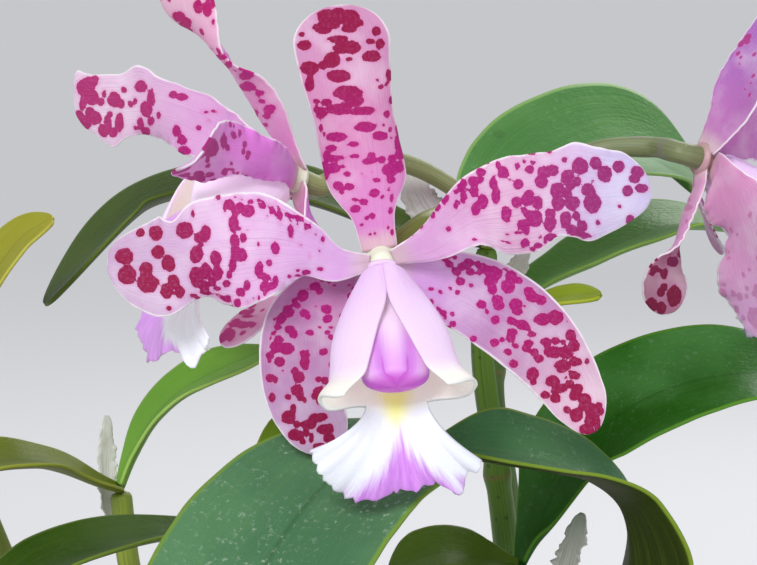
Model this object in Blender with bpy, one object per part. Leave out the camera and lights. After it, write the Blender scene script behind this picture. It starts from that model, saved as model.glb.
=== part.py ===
"""A cattleya orchid in bloom, in a plain clay pot.

Seven slim canes stand on a creeping rhizome that lies on bark. Each cane carries leathery leaves at its top,
and one carries a short stalk with three spotted blooms. Lengths below are in millimetres; the pot's underside
is at z = 0, its axis is the z axis, and the front bloom looks along -y.
"""

import math
import random

import bmesh
import bpy
from mathutils import Matrix, Vector

MM = 0.001
CLEARANCE = 0.35

# Pot and bark
POT_HEIGHT = 88.0
POT_FOOT_RADIUS = 44.0
POT_TOP_RADIUS = 57.0
POT_WALL = 4.5
POT_FLOOR = 6.0
RIM_HEIGHT = 17.0
RIM_PROUD = 3.5
DRAIN_RADIUS = 4.5
DRAIN_RING = 24.0
DRAIN_COUNT = 3
POT_SIDES = 40
BARK_TOP = 77.0
CHIP_COUNT = 34
CHIP_SEED = 5
CHIP_ROOT = 6.0

# Rhizome, roots and canes
RHIZOME_RADIUS = 3.6
RHIZOME_LIFT = 0.6
ROOT_RADIUS = 1.7
CANE_SIDES = 8
CANE_RINGS = 13
CANE_FOOT_RADIUS = 2.3
CANE_WAIST_RADIUS = 3.1
CANE_TOP_RADIUS = 2.1
CANE_JOINTS = 4
JOINT_PROUD = 0.45

# Leaves
LEAF_THICKNESS = 1.2
LEAF_BASE_HALF = 1.4
LEAF_GAP = 0.65
LEAF_SHAPE = (0.0, 0.24, 0.56, 0.84, 0.98, 0.98, 0.84, 0.56)
# Leaves that are broad from their foot on, and one that is blunt: the shapes of their left and right halves
OWN_SHAPES = {
    "leaf_front": ((0, 0.88, 0.98, 1, 1, 1, 0.86, 0.58), (0, 0.42, 0.74, 0.93, 1, 1, 0.86, 0.58)),
    "leaf_front_right": ((0, 0.5, 0.58, 0.62, 0.7, 0.8, 0.8, 0.56), (0, 0.5, 0.66, 0.76, 0.84, 0.88, 0.8, 0.56)),
    "leaf_right": ((0, 0.34, 0.78, 0.96, 1, 1, 0.86, 0.58), (0, 0.5, 0.84, 0.97, 1, 1, 0.86, 0.58)),
    "leaf_back_right": ((0, 0.55, 0.85, 0.98, 1, 0.98, 0.84, 0.56), LEAF_SHAPE),
    "leaf_back_left": ((0, 0.24, 0.56, 0.84, 1, 1.04, 1, 0.9), (0, 0.24, 0.56, 0.84, 1, 1.04, 1, 0.9)),
}
LEAF_ALONG = 11
LEAF_ACROSS = 4

# Blooms
PETAL_THICKNESS = 0.8
PETAL_ALONG = 12
PETAL_ACROSS = 6
LIP_THICKNESS = 0.7
LIP_AXIS = Vector((0.09, -0.75, 0.66)).normalized()
LIP_LENGTH = 24.1
LIP_SET_OFF = 3.0
FAN_LENGTH = 14.6
FAN_SPREAD = math.radians(46)
RECEPTACLE_RADIUS = 3.7
RECEPTACLE_DEPTH = 3.4
COLUMN_LENGTH = 26.6
STALK_RADIUS = 1.5
OVARY_RADIUS = 2.2

GREEN = (0.10, 0.27, 0.05, 1)
CANE_GREEN = (0.16, 0.30, 0.04, 1)
STALK_GREEN = (0.28, 0.30, 0.10, 1)
PETAL_PINK = (0.80, 0.42, 0.62, 1)
LIP_WHITE = (0.90, 0.82, 0.88, 1)
COLUMN_PURPLE = (0.62, 0.25, 0.62, 1)
PAPER_WHITE = (0.62, 0.60, 0.53, 1)
CLAY_RED = (0.52, 0.20, 0.10, 1)
BARK_BROWN = (0.17, 0.08, 0.04, 1)
ROOT_GREY = (0.55, 0.53, 0.44, 1)


def material(name, colour, roughness):
    made = bpy.data.materials.new(name)
    made.diffuse_color = colour
    made.use_nodes = True
    shader = made.node_tree.nodes["Principled BSDF"]
    shader.inputs["Base Color"].default_value = colour
    shader.inputs["Roughness"].default_value = roughness
    shader.inputs["Metallic"].default_value = 0.0
    return made


def object_of(name, vertices, faces, finish):
    """A mesh object from points in millimetres, shaded smooth."""
    mesh = bpy.data.meshes.new(name)
    mesh.from_pydata([v * MM for v in vertices], [], faces)
    mesh.materials.append(finish)
    mesh.shade_smooth()
    made = bpy.data.objects.new(name, mesh)
    bpy.context.scene.collection.objects.link(made)
    return made


def apply_modifiers(obj):
    """Keeps the evaluated mesh of an object and drops its modifiers."""
    graph = bpy.context.evaluated_depsgraph_get()
    finished = bpy.data.meshes.new_from_object(obj.evaluated_get(graph))
    obj.modifiers.clear()
    obj.data = finished


def fuse(name, pieces, finish):
    """Joins overlapping solids into one body called name, with one Boolean union."""
    body = pieces[0]
    others = bpy.data.collections.new(name + "_parts")
    bpy.context.scene.collection.children.link(others)
    for piece in pieces[1:]:
        bpy.context.scene.collection.objects.unlink(piece)
        others.objects.link(piece)
    union = body.modifiers.new("Join", "BOOLEAN")
    union.operation = "UNION"
    union.operand_type = "COLLECTION"
    union.collection = others
    union.solver = "EXACT"
    apply_modifiers(body)
    for piece in pieces[1:]:
        bpy.data.objects.remove(piece)
    bpy.data.collections.remove(others)
    body.name = name
    body.data.materials.clear()
    body.data.materials.append(finish)
    return body


# Curves and sheets


def along(stations, t):
    """The smooth value at t through (t, value) stations: a cubic with finite-difference slopes."""
    t = min(max(t, stations[0][0]), stations[-1][0])
    last = len(stations) - 2
    k = next((i for i in range(last + 1) if t <= stations[i + 1][0]), last)

    def slope(i):
        low, high = max(i - 1, 0), min(i + 1, last + 1)
        return (stations[high][1] - stations[low][1]) / (stations[high][0] - stations[low][0])

    (t0, v0), (t1, v1) = stations[k], stations[k + 1]
    span = t1 - t0
    u = (t - t0) / span
    rise = u * u * (3 - 2 * u)
    return (
        v0 * (1 - rise)
        + v1 * rise
        + slope(k) * (span * u * (1 - u) ** 2)
        - slope(k + 1) * (span * u * u * (1 - u))
    )


def evenly(values):
    """Stations that share out 0 to 1 evenly."""
    return [(i / (len(values) - 1), v) for i, v in enumerate(values)]


def by_length(points):
    """Stations at each point's share of the way along the line through them."""
    travelled = [0.0]
    for a, b in zip(points, points[1:]):
        travelled.append(travelled[-1] + (b - a).length)
    return [(d / travelled[-1], p) for d, p in zip(travelled, points)]


def direction(spine, t):
    step = 0.02
    return (along(spine, min(t + step, 1.0)) - along(spine, max(t - step, 0.0))).normalized()


def sheet_solid(name, rows, thickness, finish):
    """A closed skin of even thickness on a grid of points, where a missing point is None.

    Both faces are split into triangles alike, so they never cross.
    """
    grid = {(i, j): p for i, row in enumerate(rows) for j, p in enumerate(row) if p is not None}

    def step(i, j, di, dj):
        ahead = grid.get((i + di, j + dj), grid[i, j])
        behind = grid.get((i - di, j - dj), grid[i, j])
        return ahead - behind

    keys = sorted(grid)
    top, bottom = [], []
    for i, j in keys:
        normal = step(i, j, 1, 0).cross(step(i, j, 0, 1)).normalized()
        top.append(grid[i, j] - normal * (thickness / 2))
        bottom.append(grid[i, j] + normal * (thickness / 2))
    index = {key: n for n, key in enumerate(keys)}
    count = len(keys)
    upper = []
    for i, j in keys:
        corners = [(i, j), (i, j + 1), (i + 1, j + 1), (i + 1, j)]
        if all(corner in index for corner in corners):
            a, b, c, d = (index[corner] for corner in corners)
            upper += [(a, b, c), (a, c, d)]
    edges = {(f[k], f[(k + 1) % 3]) for f in upper for k in range(3)}
    rim = [(a, b) for a, b in edges if (b, a) not in edges]
    faces = list(upper)
    faces += [(c + count, b + count, a + count) for a, b, c in upper]
    for a, b in sorted(rim):
        faces += [(b, a, a + count), (b, a + count, b + count)]
    return object_of(name, top + bottom, faces, finish)


def tube(name, points, radii, sides, finish, flatten=1.0, width_axis=None):
    """A capped tube along points. flatten scales it across width_axis, where one is given."""
    spine = by_length(points)
    vertices, faces = [], []
    across = None
    for k, (t, centre) in enumerate(spine):
        ahead = direction(spine, t)
        if width_axis is not None:
            across = width_axis
        elif across is None:
            across = Vector((0, 0, 1)) if abs(ahead.z) < 0.7 else Vector((1, 0, 0))
        across = (across - across.dot(ahead) * ahead).normalized()
        other = ahead.cross(across)
        for s in range(sides):
            turn = 2 * math.pi * s / sides
            vertices.append(
                centre
                + across * (radii[k] * math.cos(turn))
                + other * (radii[k] * flatten * math.sin(turn))
            )
    for k in range(len(points) - 1):
        for s in range(sides):
            a, b = k * sides + s, k * sides + (s + 1) % sides
            faces.append((a, b, b + sides, a + sides))
    last = (len(points) - 1) * sides
    faces.append(tuple(reversed(range(sides))))
    faces.append(tuple(last + s for s in range(sides)))
    return object_of(name, vertices, faces, finish)


def smooth_path(points, count):
    """count + 1 points, evenly spread along the smooth line through the given ones."""
    spine = by_length([Vector(p) for p in points])
    return [along(spine, i / count) for i in range(count + 1)]


def tip_rounding(t, start):
    """Shrinks a blade's width to nothing at its tip, along a quarter ellipse from start on."""
    if t <= start:
        return 1.0
    return math.sqrt(max(0.0, 1 - ((t - start) / (1 - start)) ** 2))


def blade_rows(blade, along_count, across_count):
    """The middle surface of a petal or leaf, row by row from its base to its tip.

    blade has: spine, its midline's points; face, the directions its upper side looks in; left and right, its
    half widths; and, where wanted, curl and keel, its cross-section's bend and fold in degrees, ripple, the
    height of its edge's waves, and rounded, where its tip begins to round off.
    """
    spine = by_length([Vector(p) for p in blade["spine"]])
    face_way = evenly([Vector(f) for f in blade["face"]])
    left = evenly(blade["left"])
    right = evenly(blade.get("right", blade["left"]))
    curl = evenly(blade.get("curl", (0.0, 0.0)))
    keel = evenly(blade.get("keel", (0.0, 0.0)))
    ripple, waves, phase = blade.get("ripple", (0.0, 1.0, 0.0))
    rounded = blade.get("rounded", 0.8)
    rows = []
    for i in range(along_count + 1):
        share = i / along_count
        t = 1 - (1 - share) ** 1.35
        centre, ahead = along(spine, t), direction(spine, t)
        face = along(face_way, t)
        face = (face - face.dot(ahead) * ahead).normalized()
        side = ahead.cross(face)
        bend = math.radians(along(curl, t))
        fold = math.radians(along(keel, t))
        row = []
        for j in range(across_count + 1):
            s = 2 * j / across_count - 1
            half = along(left if s < 0 else right, t) * tip_rounding(t, rounded) + 0.35
            if abs(bend) > 0.02:
                lateral = half / bend * math.sin(bend * s)
                lift = half / bend * (1 - math.cos(bend * s))
            else:
                lateral, lift = half * s, 0.0
            lift += abs(lateral) * math.sin(fold)
            lateral *= math.cos(fold)
            wave = math.sin(2 * math.pi * waves * t + phase + (2.1 if s > 0 else 0.0))
            lift += ripple * s * s * wave * math.sqrt(math.sin(math.pi * min(1.0, t * 1.05)))
            row.append(centre + side * lateral + face * lift)
        rows.append(row)
    return rows


# The blooms' petals and sepals, in millimetres from each bloom's centre as the viewer in front of the plant
# sees them: x to the right, y up and z towards the viewer

FRONT_TEPALS = {
    "dorsal_sepal": {
        "spine": [(-1.9, 10, -3), (-3.3, 18, -4), (-5.3, 27.5, -5), (-6.8, 36.3, -5), (-7.6, 44.8, -4)],
        "face": [(0.05, 0.1, 1), (0, 0.1, 1)],
        "left": [2.8, 3.6, 7.2, 7.8, 7.4, 7.8, 8.2, 8.4],
        "curl": [0, -12, -48, -50, -28, -10, -6],
        "ripple": (0.3, 2.0, 0.0),
        "rounded": 0.84,
    },
    "left_petal": {
        "spine": [
            (-8, -0.2, 0.9), (-14.4, 2.0, 2.2), (-22.3, 1.9, 2.8), (-31.1, 1.1, 2), (-39, -0.3, 0.6),
            (-48.3, 0, -1.5),
        ],
        "face": [(0, 0, 1), (0, 0.05, 1)],
        "left": [1.0, 2.9, 5.4, 7.6, 8.6, 8.6, 8.2, 7.0],
        "right": [1.0, 3.0, 5.8, 9.6, 10.8, 7.6, 7.2, 6.4],
        "curl": [22, 14, -8, -14, -8, -4],
        "ripple": (1.3, 2.6, 0.6),
        "rounded": 0.78,
    },
    "right_petal": {
        "spine": [
            (8.4, 3.4, 1), (15.4, 8.8, 2.6), (23.3, 11, 2.8), (31.2, 12.1, 1.6), (39.1, 11.9, 0.4),
            (47.2, 12.2, -1.6),
        ],
        "face": [(0, 0, 1), (0, 0.05, 1)],
        "left": [1.0, 2.8, 4.4, 7.2, 7.8, 9, 9.2, 8.0],
        "right": [1.0, 2.9, 5.0, 8.4, 9.2, 8.6, 8.4, 7.0],
        "curl": [22, 12, -8, -16, -10, -4],
        "ripple": (1.3, 2.4, 2.2),
        "rounded": 0.8,
    },
    "left_sepal": {
        "spine": [
            (-9.3, -6, -3.6), (-13.9, -11.4, -4), (-14.7, -18.1, -3), (-13.4, -25.4, -2), (-8.4, -34, -3),
        ],
        "face": [(-0.1, 0.1, 1), (0, 0.1, 1)],
        "left": [2.0, 4.4, 6.0, 6.6, 6.5, 5.7, 4.6],
        "curl": [10, 16, 18, 14, 8],
        "ripple": (0.3, 1.6, 1.0),
        "rounded": 0.84,
    },
    "right_sepal": {
        "spine": [
            (11.9, -4.4, -3.6), (20.7, -8.8, -4.6), (28.6, -15.8, -5.4), (34.4, -24.2, -5.6), (37.6, -31, -5),
        ],
        "face": [(0.05, 0.1, 1), (0.1, 0.1, 1)],
        "left": [2.0, 5.4, 7.0, 7.3, 6.6, 5.2, 3.6],
        "curl": [10, 12, 14, 12, 8],
        "ripple": (0.4, 1.5, 0.4),
        "rounded": 0.86,
    },
}

LEFT_TEPALS = {
    "dorsal_sepal": {
        "spine": [
            (-2, 9.2, 0.8), (-6.2, 15.6, 2.6), (-11.2, 21.4, 4.6), (-15, 26.2, 6.4), (-18.2, 32, 7.6),
            (-20, 39.6, 8),
        ],
        "face": [(-0.85, 0.1, 0.5), (-0.85, 0, 0.45), (-0.95, 0, 0.15), (-0.7, 0, 0.7), (-0.6, -0.1, 0.8)],
        "left": [2.6, 3.4, 5.4, 6.0, 5.2, 5.6, 6.4, 6.4],
        "curl": [0, -10, -26, -26, -16, -8],
        "ripple": (0.3, 2.0, 0.0),
        "rounded": 0.84,
    },
    "left_petal": {
        "spine": [
            (-6.5, 4.6, -3), (-11.5, 7.4, -6), (-17, 10, -9), (-22.6, 12, -12), (-28.5, 12.6, -15),
            (-40.8, 11.5, -19),
        ],
        "face": [(-0.4, 0.1, 0.9), (-0.3, 0, 0.95), (-0.3, -0.1, 0.9)],
        "left": [2.2, 3.2, 5.4, 6.6, 6.4, 6.0, 6.8, 6.2],
        "right": [2.2, 3.0, 4.2, 4.6, 4.4, 6.0, 5.8, 6.0],
        "curl": [20, 8, -10, -14, -8, -4],
        "ripple": (1.2, 2.4, 1.6),
        "rounded": 0.9,
    },
    "right_petal": {
        "spine": [(0, 1.6, 6.8), (-4, 3, 11.4), (-8.6, 4.4, 16.2), (-13.6, 4.4, 21), (-18.8, 3, 25)],
        "face": [(-0.9, 0.2, -0.1), (-0.95, 0.1, 0), (-0.8, 0.3, 0.45)],
        "left": [2.2, 3.4, 4.6, 5.6, 6.4, 6.8, 6.6],
        "right": [2.2, 2.0, 2.4, 2.4, 3.0, 4.6, 6.0],
        "curl": [16, 16, 10, 0, -6],
        "ripple": (0.7, 2.2, 0.4),
        "rounded": 0.84,
    },
    "left_sepal": {
        "spine": [(-3, -5, -6), (-8, -11, -12), (-14, -16, -19), (-21, -20, -24)],
        "face": [(-0.85, 0.2, 0.4), (-0.8, 0.4, 0.3), (-0.7, 0.5, 0.4)],
        "left": [2.0, 4.8, 6.4, 6.8, 6.2, 5.2, 4.0],
        "curl": [10, 12, 14, 12, 8],
        "ripple": (0.3, 1.6, 1.0),
        "rounded": 0.84,
    },
    "right_sepal": {
        "spine": [(3.6, -5.4, 3), (5.6, -10.4, 5), (3.6, -17, 7.5), (-1.6, -22.6, 9.5), (-11.6, -29.8, 12)],
        "face": [(-0.9, 0.1, -0.3), (-0.85, 0.25, -0.2), (-0.55, 0.7, 0.3), (-0.45, 0.7, 0.5)],
        "left": [2.0, 4.2, 5.8, 6.2, 6.0, 5.2, 4.2],
        "curl": [10, 14, 14, 12, 8],
        "ripple": (0.3, 1.5, 0.4),
        "rounded": 0.84,
    },
}

RIGHT_TEPALS = {
    "dorsal_sepal": {
        "spine": [(3.6, 9.4, 2), (6.6, 15, 1.6), (10.6, 21, 0.4), (15.6, 27, -1.6), (21, 33, -4)],
        "face": [(0.8, -0.3, -0.5), (0.8, -0.3, -0.5), (0.8, -0.3, -0.5)],
        "left": [2.6, 4.4, 6.8, 7.6, 7.4, 7.6, 7.8, 7.4],
        "curl": [0, -10, -16, -16, -10, -6],
        "ripple": (0.3, 2.0, 0.0),
        "rounded": 0.8,
    },
    "left_petal": {
        "spine": [
            (1.2, -1.6, 6.6), (3.2, -6, 9.2), (5.4, -11.6, 10.8), (7.2, -17.4, 12), (8.8, -23.4, 12.8),
            (11.6, -32.4, 13),
        ],
        "face": [(0.8, 0.1, -0.5), (0.85, 0.2, -0.5), (0.8, 0.2, -0.6)],
        "left": [2.2, 5.4, 8.4, 6.6, 9.8, 11.6, 9.8, 8.4],
        "right": [2.2, 3.2, 6.8, 9.0, 9.8, 9.6, 9.0, 8.0],
        "curl": [10, 4, -6, -8, -4],
        "ripple": (1.0, 2.4, 1.6),
        "rounded": 0.8,
    },
    "right_petal": {
        "spine": [(4.5, 3.4, -6), (9.6, 6.6, -12), (15.4, 8.8, -18), (21, 9.6, -24), (27.5, 8.6, -30)],
        "face": [(0.85, -0.1, 0.4), (0.85, 0, 0.5), (0.8, 0.1, 0.6)],
        "left": [2.2, 3.2, 5.6, 8.6, 9.6, 9.2, 8.4, 7.4],
        "curl": [20, 10, -8, -14, -8, -4],
        "ripple": (1.2, 2.4, 1.6),
        "rounded": 0.8,
    },
    "left_sepal": {
        "spine": [
            (-2.4, -4.6, 2.8), (-4.6, -10.4, 2.6), (-6.8, -16, 2.4), (-8.8, -21, 2.6), (-8.2, -28.6, 3),
        ],
        "face": [(0.9, 0, -0.3), (0.95, 0, 0.1), (0.6, 0, 0.8), (0.4, 0.1, 0.9)],
        "left": [1.6, 1.7, 2.0, 2.7, 4.0, 4.9, 4.4],
        "curl": [10, 12, 14, 12, 8],
        "ripple": (0.3, 1.6, 1.0),
        "rounded": 0.8,
    },
    "right_sepal": {
        "spine": [
            (-2, -4.6, -5.2), (-1, -8.2, -11), (0.8, -11.6, -17), (2.6, -15, -22), (4.4, -19.4, -26.4),
        ],
        "face": [(0.8, -0.1, -0.5), (0.8, -0.1, -0.5), (0.8, 0, -0.5)],
        "left": [1.4, 2.2, 3.0, 3.8, 4.2, 4.0, 3.4],
        "curl": [10, 12, 14, 12, 8],
        "ripple": (0.4, 1.5, 0.4),
        "rounded": 0.84,
    },
}

SEPAL_LEVEL = -2.2
PETAL_LEVEL = -0.6
TEPAL_RING = 4.3

# Half widths and depths of the lip's tube, and how far round the column its sides wrap, from base to mouth
TUBE_WIDTH = evenly([3.7, 6.2, 8.4, 10.0, 10.7, 10.9])
TUBE_DEPTH = evenly([3.3, 4.7, 5.9, 6.6, 6.8, 6.6])
TUBE_WRAP = evenly([172, 174, 170, 158, 140, 112])
TUBE_COLUMNS = (0.0, 0.085, 0.17, 0.255, 0.42, 0.6, 0.8, 1.0)
FAN_COLUMNS = 3
TUBE_ROWS = 7
FAN_ROWS = 5
LEFT_FLARE = 1.4
RIGHT_FLARE = 4.4
FLARE_FROM = 0.72
FAN_TEETH = 0.55

COLUMN_HALF_WIDTH = evenly([2.5, 2.7, 3.1, 3.9, 5.6, 5.7, 3.2])
COLUMN_FLATTEN = 0.62
COLUMN_STEPS = 7


def lip_point(s, v):
    """A point of the lip's tube: s runs from its base to its mouth, v from edge to edge round the column."""
    up = Vector((1, 0, 0)).cross(LIP_AXIS)
    up = -up if up.z < 0 else up
    side = LIP_AXIS.cross(up)
    side = -side if side.x < 0 else side
    turn = math.radians(along(TUBE_WRAP, s)) * v
    flare = max(0.0, (s - FLARE_FROM) / (1 - FLARE_FROM)) ** 2 * (LEFT_FLARE if v < 0 else RIGHT_FLARE)
    flare *= min(1.0, max(0.0, (abs(v) - 0.3) / 0.4))
    centre = LIP_AXIS * (LIP_SET_OFF + s * LIP_LENGTH)
    return (
        centre
        - up * (along(TUBE_DEPTH, s) * math.cos(turn))
        + side * (along(TUBE_WIDTH, s) * math.sin(turn) + math.copysign(flare, v) * abs(v))
    )


def lip_rows():
    """The lip's middle surface: a tube round the column, and the fan that goes on from the tube's floor."""
    columns = [-v for v in reversed(TUBE_COLUMNS[1:])] + list(TUBE_COLUMNS)
    middle = len(TUBE_COLUMNS) - 1
    rows = [[lip_point(i / TUBE_ROWS, v) for v in columns] for i in range(TUBE_ROWS + 1)]
    neck = rows[-1]
    for i in range(1, FAN_ROWS + 1):
        r = i / FAN_ROWS
        row = [None] * len(columns)
        for j in range(-FAN_COLUMNS, FAN_COLUMNS + 1):
            c = j / FAN_COLUMNS
            reach = FAN_LENGTH + 5.2 * abs(c) - 7.3 * c * c + FAN_TEETH * (-1) ** j * r
            spread = FAN_SPREAD * c
            out = math.sin(spread) * reach * r ** 1.5
            down = math.cos(spread) * reach * r ** 0.9
            frill = 1.1 * r * r * math.sin(5.3 * c + 0.8)
            bulge = 3.2 * math.sin(math.pi * r * 0.75) - 1.5 * r * c * c
            row[middle + j] = neck[middle + j] + Vector((out, -down * 0.96, bulge + frill))
        rows.append(row)
    return rows


def seen(x, y, z):
    """A place or direction given as the viewer sees it, in the plant's own axes."""
    return Vector((x, -z, y))


def bloom(name, centre, facing, lift, tepals):
    """One bloom's seven pieces.

    facing is the way its front looks, as the viewer sees it, and lift how far its lip and column are raised
    towards the front, in degrees.
    """
    centre = Vector(centre)
    front = seen(*facing).normalized()
    up = (Vector((0, 0, 1)) - front.z * front).normalized()
    right = up.cross(front)
    place = Matrix((right, up, front)).transposed() @ Matrix.Rotation(math.radians(-lift), 3, "X")

    for part, shape in tepals.items():
        line = [seen(*p) for p in shape["spine"]]
        outward = (line[0] - line[0].dot(front) * front).normalized()
        level = PETAL_LEVEL if "petal" in part else SEPAL_LEVEL
        line = [outward * TEPAL_RING + front * level] + line
        blade = {
            **shape,
            "spine": [centre + p for p in line],
            "face": [front] + [seen(*f) for f in shape["face"]],
        }
        rows = blade_rows(blade, PETAL_ALONG, PETAL_ACROSS)
        sheet_solid(f"{name}_{part}", rows, PETAL_THICKNESS, PETAL_FINISH)
    lip = [[p and centre + place @ p for p in row] for row in lip_rows()]
    sheet_solid(f"{name}_lip", lip, LIP_THICKNESS, LIP_FINISH)

    # The column is one piece with the round receptacle that everything else is set on.
    shares = [k / COLUMN_STEPS for k in range(COLUMN_STEPS + 1)]
    spine = [place @ (LIP_AXIS * (COLUMN_LENGTH * share)) + centre for share in shares]
    radii = [along(COLUMN_HALF_WIDTH, share) for share in shares]
    column = tube("column_rod", spine, radii, 10, COLUMN_FINISH, COLUMN_FLATTEN, right)
    stages = [(-RECEPTACLE_DEPTH, 2.6), (-2.4, RECEPTACLE_RADIUS), (0.6, RECEPTACLE_RADIUS), (2.0, 2.2)]
    core = [centre + front * level for level, _ in stages]
    receptacle = tube("receptacle", core, [radius for _, radius in stages], 10, COLUMN_FINISH)
    fuse(f"{name}_column", [column, receptacle], COLUMN_FINISH)
    return centre - front * RECEPTACLE_DEPTH, front


# The plant

BLOOMS = {
    "front_bloom": ((0.6, -45, 232.6), (0, 0, 1), 0, FRONT_TEPALS),
    "left_bloom": ((-16.9, -14, 245.4), (-0.86, 0.26, 0.44), 4, LEFT_TEPALS),
    "right_bloom": ((62.3, -4, 247.6), (0.82, -0.25, -0.48), 25, RIGHT_TEPALS),
}

STALK_JOINT = (21, 4, 236)
STALK_PATHS = {
    "front_bloom": [STALK_JOINT, (16, -12, 239), (8, -30, 238)],
    "left_bloom": [STALK_JOINT, (13, 0, 243), (4, -4, 247.4), (-4, -8, 247)],
    "right_bloom": [STALK_JOINT, (32, 3, 245), (42, 2, 249.4), (52, 0, 250)],
}

# From foot to top
CANES = {
    "cane_flowering": [
        (22, 10, 0), (28, 13, 140), (25.4, 11, 168), (22.4, 9, 191), (20, 7, 210), (20.7, 5, 231),
    ],
    "cane_front": [(-4, -16, 0), (-9, -18, 120), (-5, -21, 168), (2, -25, 186), (9, -28, 197)],
    "cane_right": [(32, 0, 0), (36, -4, 120), (31, -5, 155), (27, -4, 170)],
    "cane_back": [(12, 20, 0), (20, 28, 130), (26, 29, 173), (23, 27, 198), (23, 26, 214)],
    "cane_left": [(-26, 6, 0), (-38, 8, 130), (-48, 8, 166), (-50, 8, 183)],
    "cane_left_front": [(-12, -8, 0), (-14, -8, 130), (-20, -8, 176)],
    "cane_far_left": [(-38, 14, 0), (-58, 14, 130), (-78, 14, 180), (-84, 14, 198)],
}

# Each leaf: its cane, its midline beyond the cane's top, the ways its upper side looks, its width and how far
# its two halves fold up, in degrees
LEAVES = {
    "leaf_back_right": (
        "cane_flowering",
        [(27, 17, 235), (37, 30, 244), (52, 42, 247), (67, 52, 241)],
        [(-0.6, -0.7, 0.3), (-0.3, -0.65, 0.7), (0.1, -0.6, 0.8)],
        37, 8,
    ),
    "leaf_back_left": (
        "cane_flowering",
        [(4, 14, 233), (-9, 21, 237), (-22, 28, 240), (-36, 33, 239), (-48, 34, 235), (-66, 26, 217)],
        [(0, -0.4, 0.9), (0, -0.1, 1), (-0.3, -0.1, 0.95), (-0.75, -0.2, 0.6)],
        26, 8,
    ),
    "leaf_rear_right": (
        "cane_back",
        [(31, 33, 219.5), (41, 37, 224), (50, 40, 228), (60, 45, 231), (81, 52, 229)],
        [(0, -0.1, 1), (0, -0.12, 1), (0, -0.12, 1)],
        26, 8,
    ),
    "leaf_small": (
        "cane_back",
        [(29, 19, 216.5), (36, 15, 219.5), (43, 11, 220.5)],
        [(0, -0.5, 0.9), (0, -0.4, 0.9), (0, -0.4, 0.9)],
        8, 8,
    ),
    "leaf_right": (
        "cane_right",
        [
            (30, 1, 175), (34, 4, 183), (40, 9, 191), (49, 13, 198), (61, 16, 202.5), (74, 18, 204),
            (90, 18, 201),
        ],
        [(-0.8, -0.6, 0.2), (-0.6, -0.65, 0.4), (-0.3, -0.5, 0.75), (0, -0.22, 0.97)],
        27, 10,
    ),
    "leaf_low_back": (
        "cane_right",
        [(20, -2, 171.0), (12, -1, 172.0), (2, -2, 168.6)],
        [(0, -0.4, 0.9), (0, -0.3, 0.9), (-0.2, -0.3, 0.9)],
        16, 8,
    ),
    "leaf_low_front": (
        "cane_right",
        [(21.6, -11.6, 167.4), (14, -18, 165.5), (4, -18, 160)],
        [(0, -0.1, 1), (0, -0.1, 1), (-0.2, -0.1, 1)],
        14, 8,
    ),
    "leaf_front": (
        "cane_front",
        [(3, -32, 199), (-6, -42, 195.5), (-15, -52, 187), (-22, -60, 176), (-27, -66, 162), (-30, -70, 148)],
        [(0, -0.5, 0.87), (0, -0.5, 0.87), (-0.1, -0.8, 0.6)],
        37, 3,
    ),
    "leaf_front_right": (
        "cane_front",
        [
            (22, -27, 195.4), (31, -25, 193.4), (39, -23, 190.4), (45, -21, 185), (47.2, -21, 176.4),
            (46.8, -22, 167), (45, -24, 154),
        ],
        [(0, -0.45, 0.9), (0, -0.4, 0.92), (0.35, -0.05, 0.9), (0.8, 0.4, 0.3), (0.8, 0.45, 0.1)],
        31, 16,
    ),
    "leaf_left": (
        "cane_left",
        [(-54, 4, 185), (-61, 0, 188.5), (-68, -5, 190.5), (-77, -9, 189.5), (-92, -15, 180)],
        [(0.3, -0.2, 0.9), (0, -0.12, 1), (-0.3, -0.12, 0.9)],
        22, 6,
    ),
    "leaf_left_upright": (
        "cane_left",
        [(-47.6, 11, 189), (-43.6, 14, 196), (-36.6, 17, 202), (-21, 20, 209)],
        [(-0.9, -0.3, 0.2), (-0.7, -0.3, 0.6), (-0.3, -0.3, 0.9)],
        17, 8,
    ),
    "leaf_low_left": (
        "cane_left_front",
        [(-31, -12, 178), (-42, -20, 179), (-52, -27, 178), (-61, -32, 175), (-78, -40, 163)],
        [(0, -0.15, 1), (-0.1, -0.1, 1), (-0.3, -0.1, 0.9)],
        24, 6,
    ),
    "leaf_middle": (
        "cane_left_front",
        [(-20, -6.4, 183), (-17, -2, 192), (-12, 3, 200)],
        [(-0.3, -0.9, 0.3), (-0.3, -0.9, 0.3), (0, -0.8, 0.6)],
        12, 8,
    ),
    "leaf_far_left": (
        "cane_far_left",
        [(-80, 9.5, 212), (-74, 8, 224), (-68, 6, 232), (-62, 4, 236)],
        [(-0.7, -0.5, 0.3), (-0.6, -0.45, 0.6), (-0.3, -0.5, 0.8)],
        15, 8,
    ),
    "leaf_far_left_low": (
        "cane_far_left",
        [(-94, 17, 203), (-106, 20, 199), (-118, 22, 186)],
        [(0, -0.3, 0.9), (-0.2, -0.3, 0.9), (-0.6, -0.3, 0.6)],
        24, 8,
    ),
}

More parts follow.
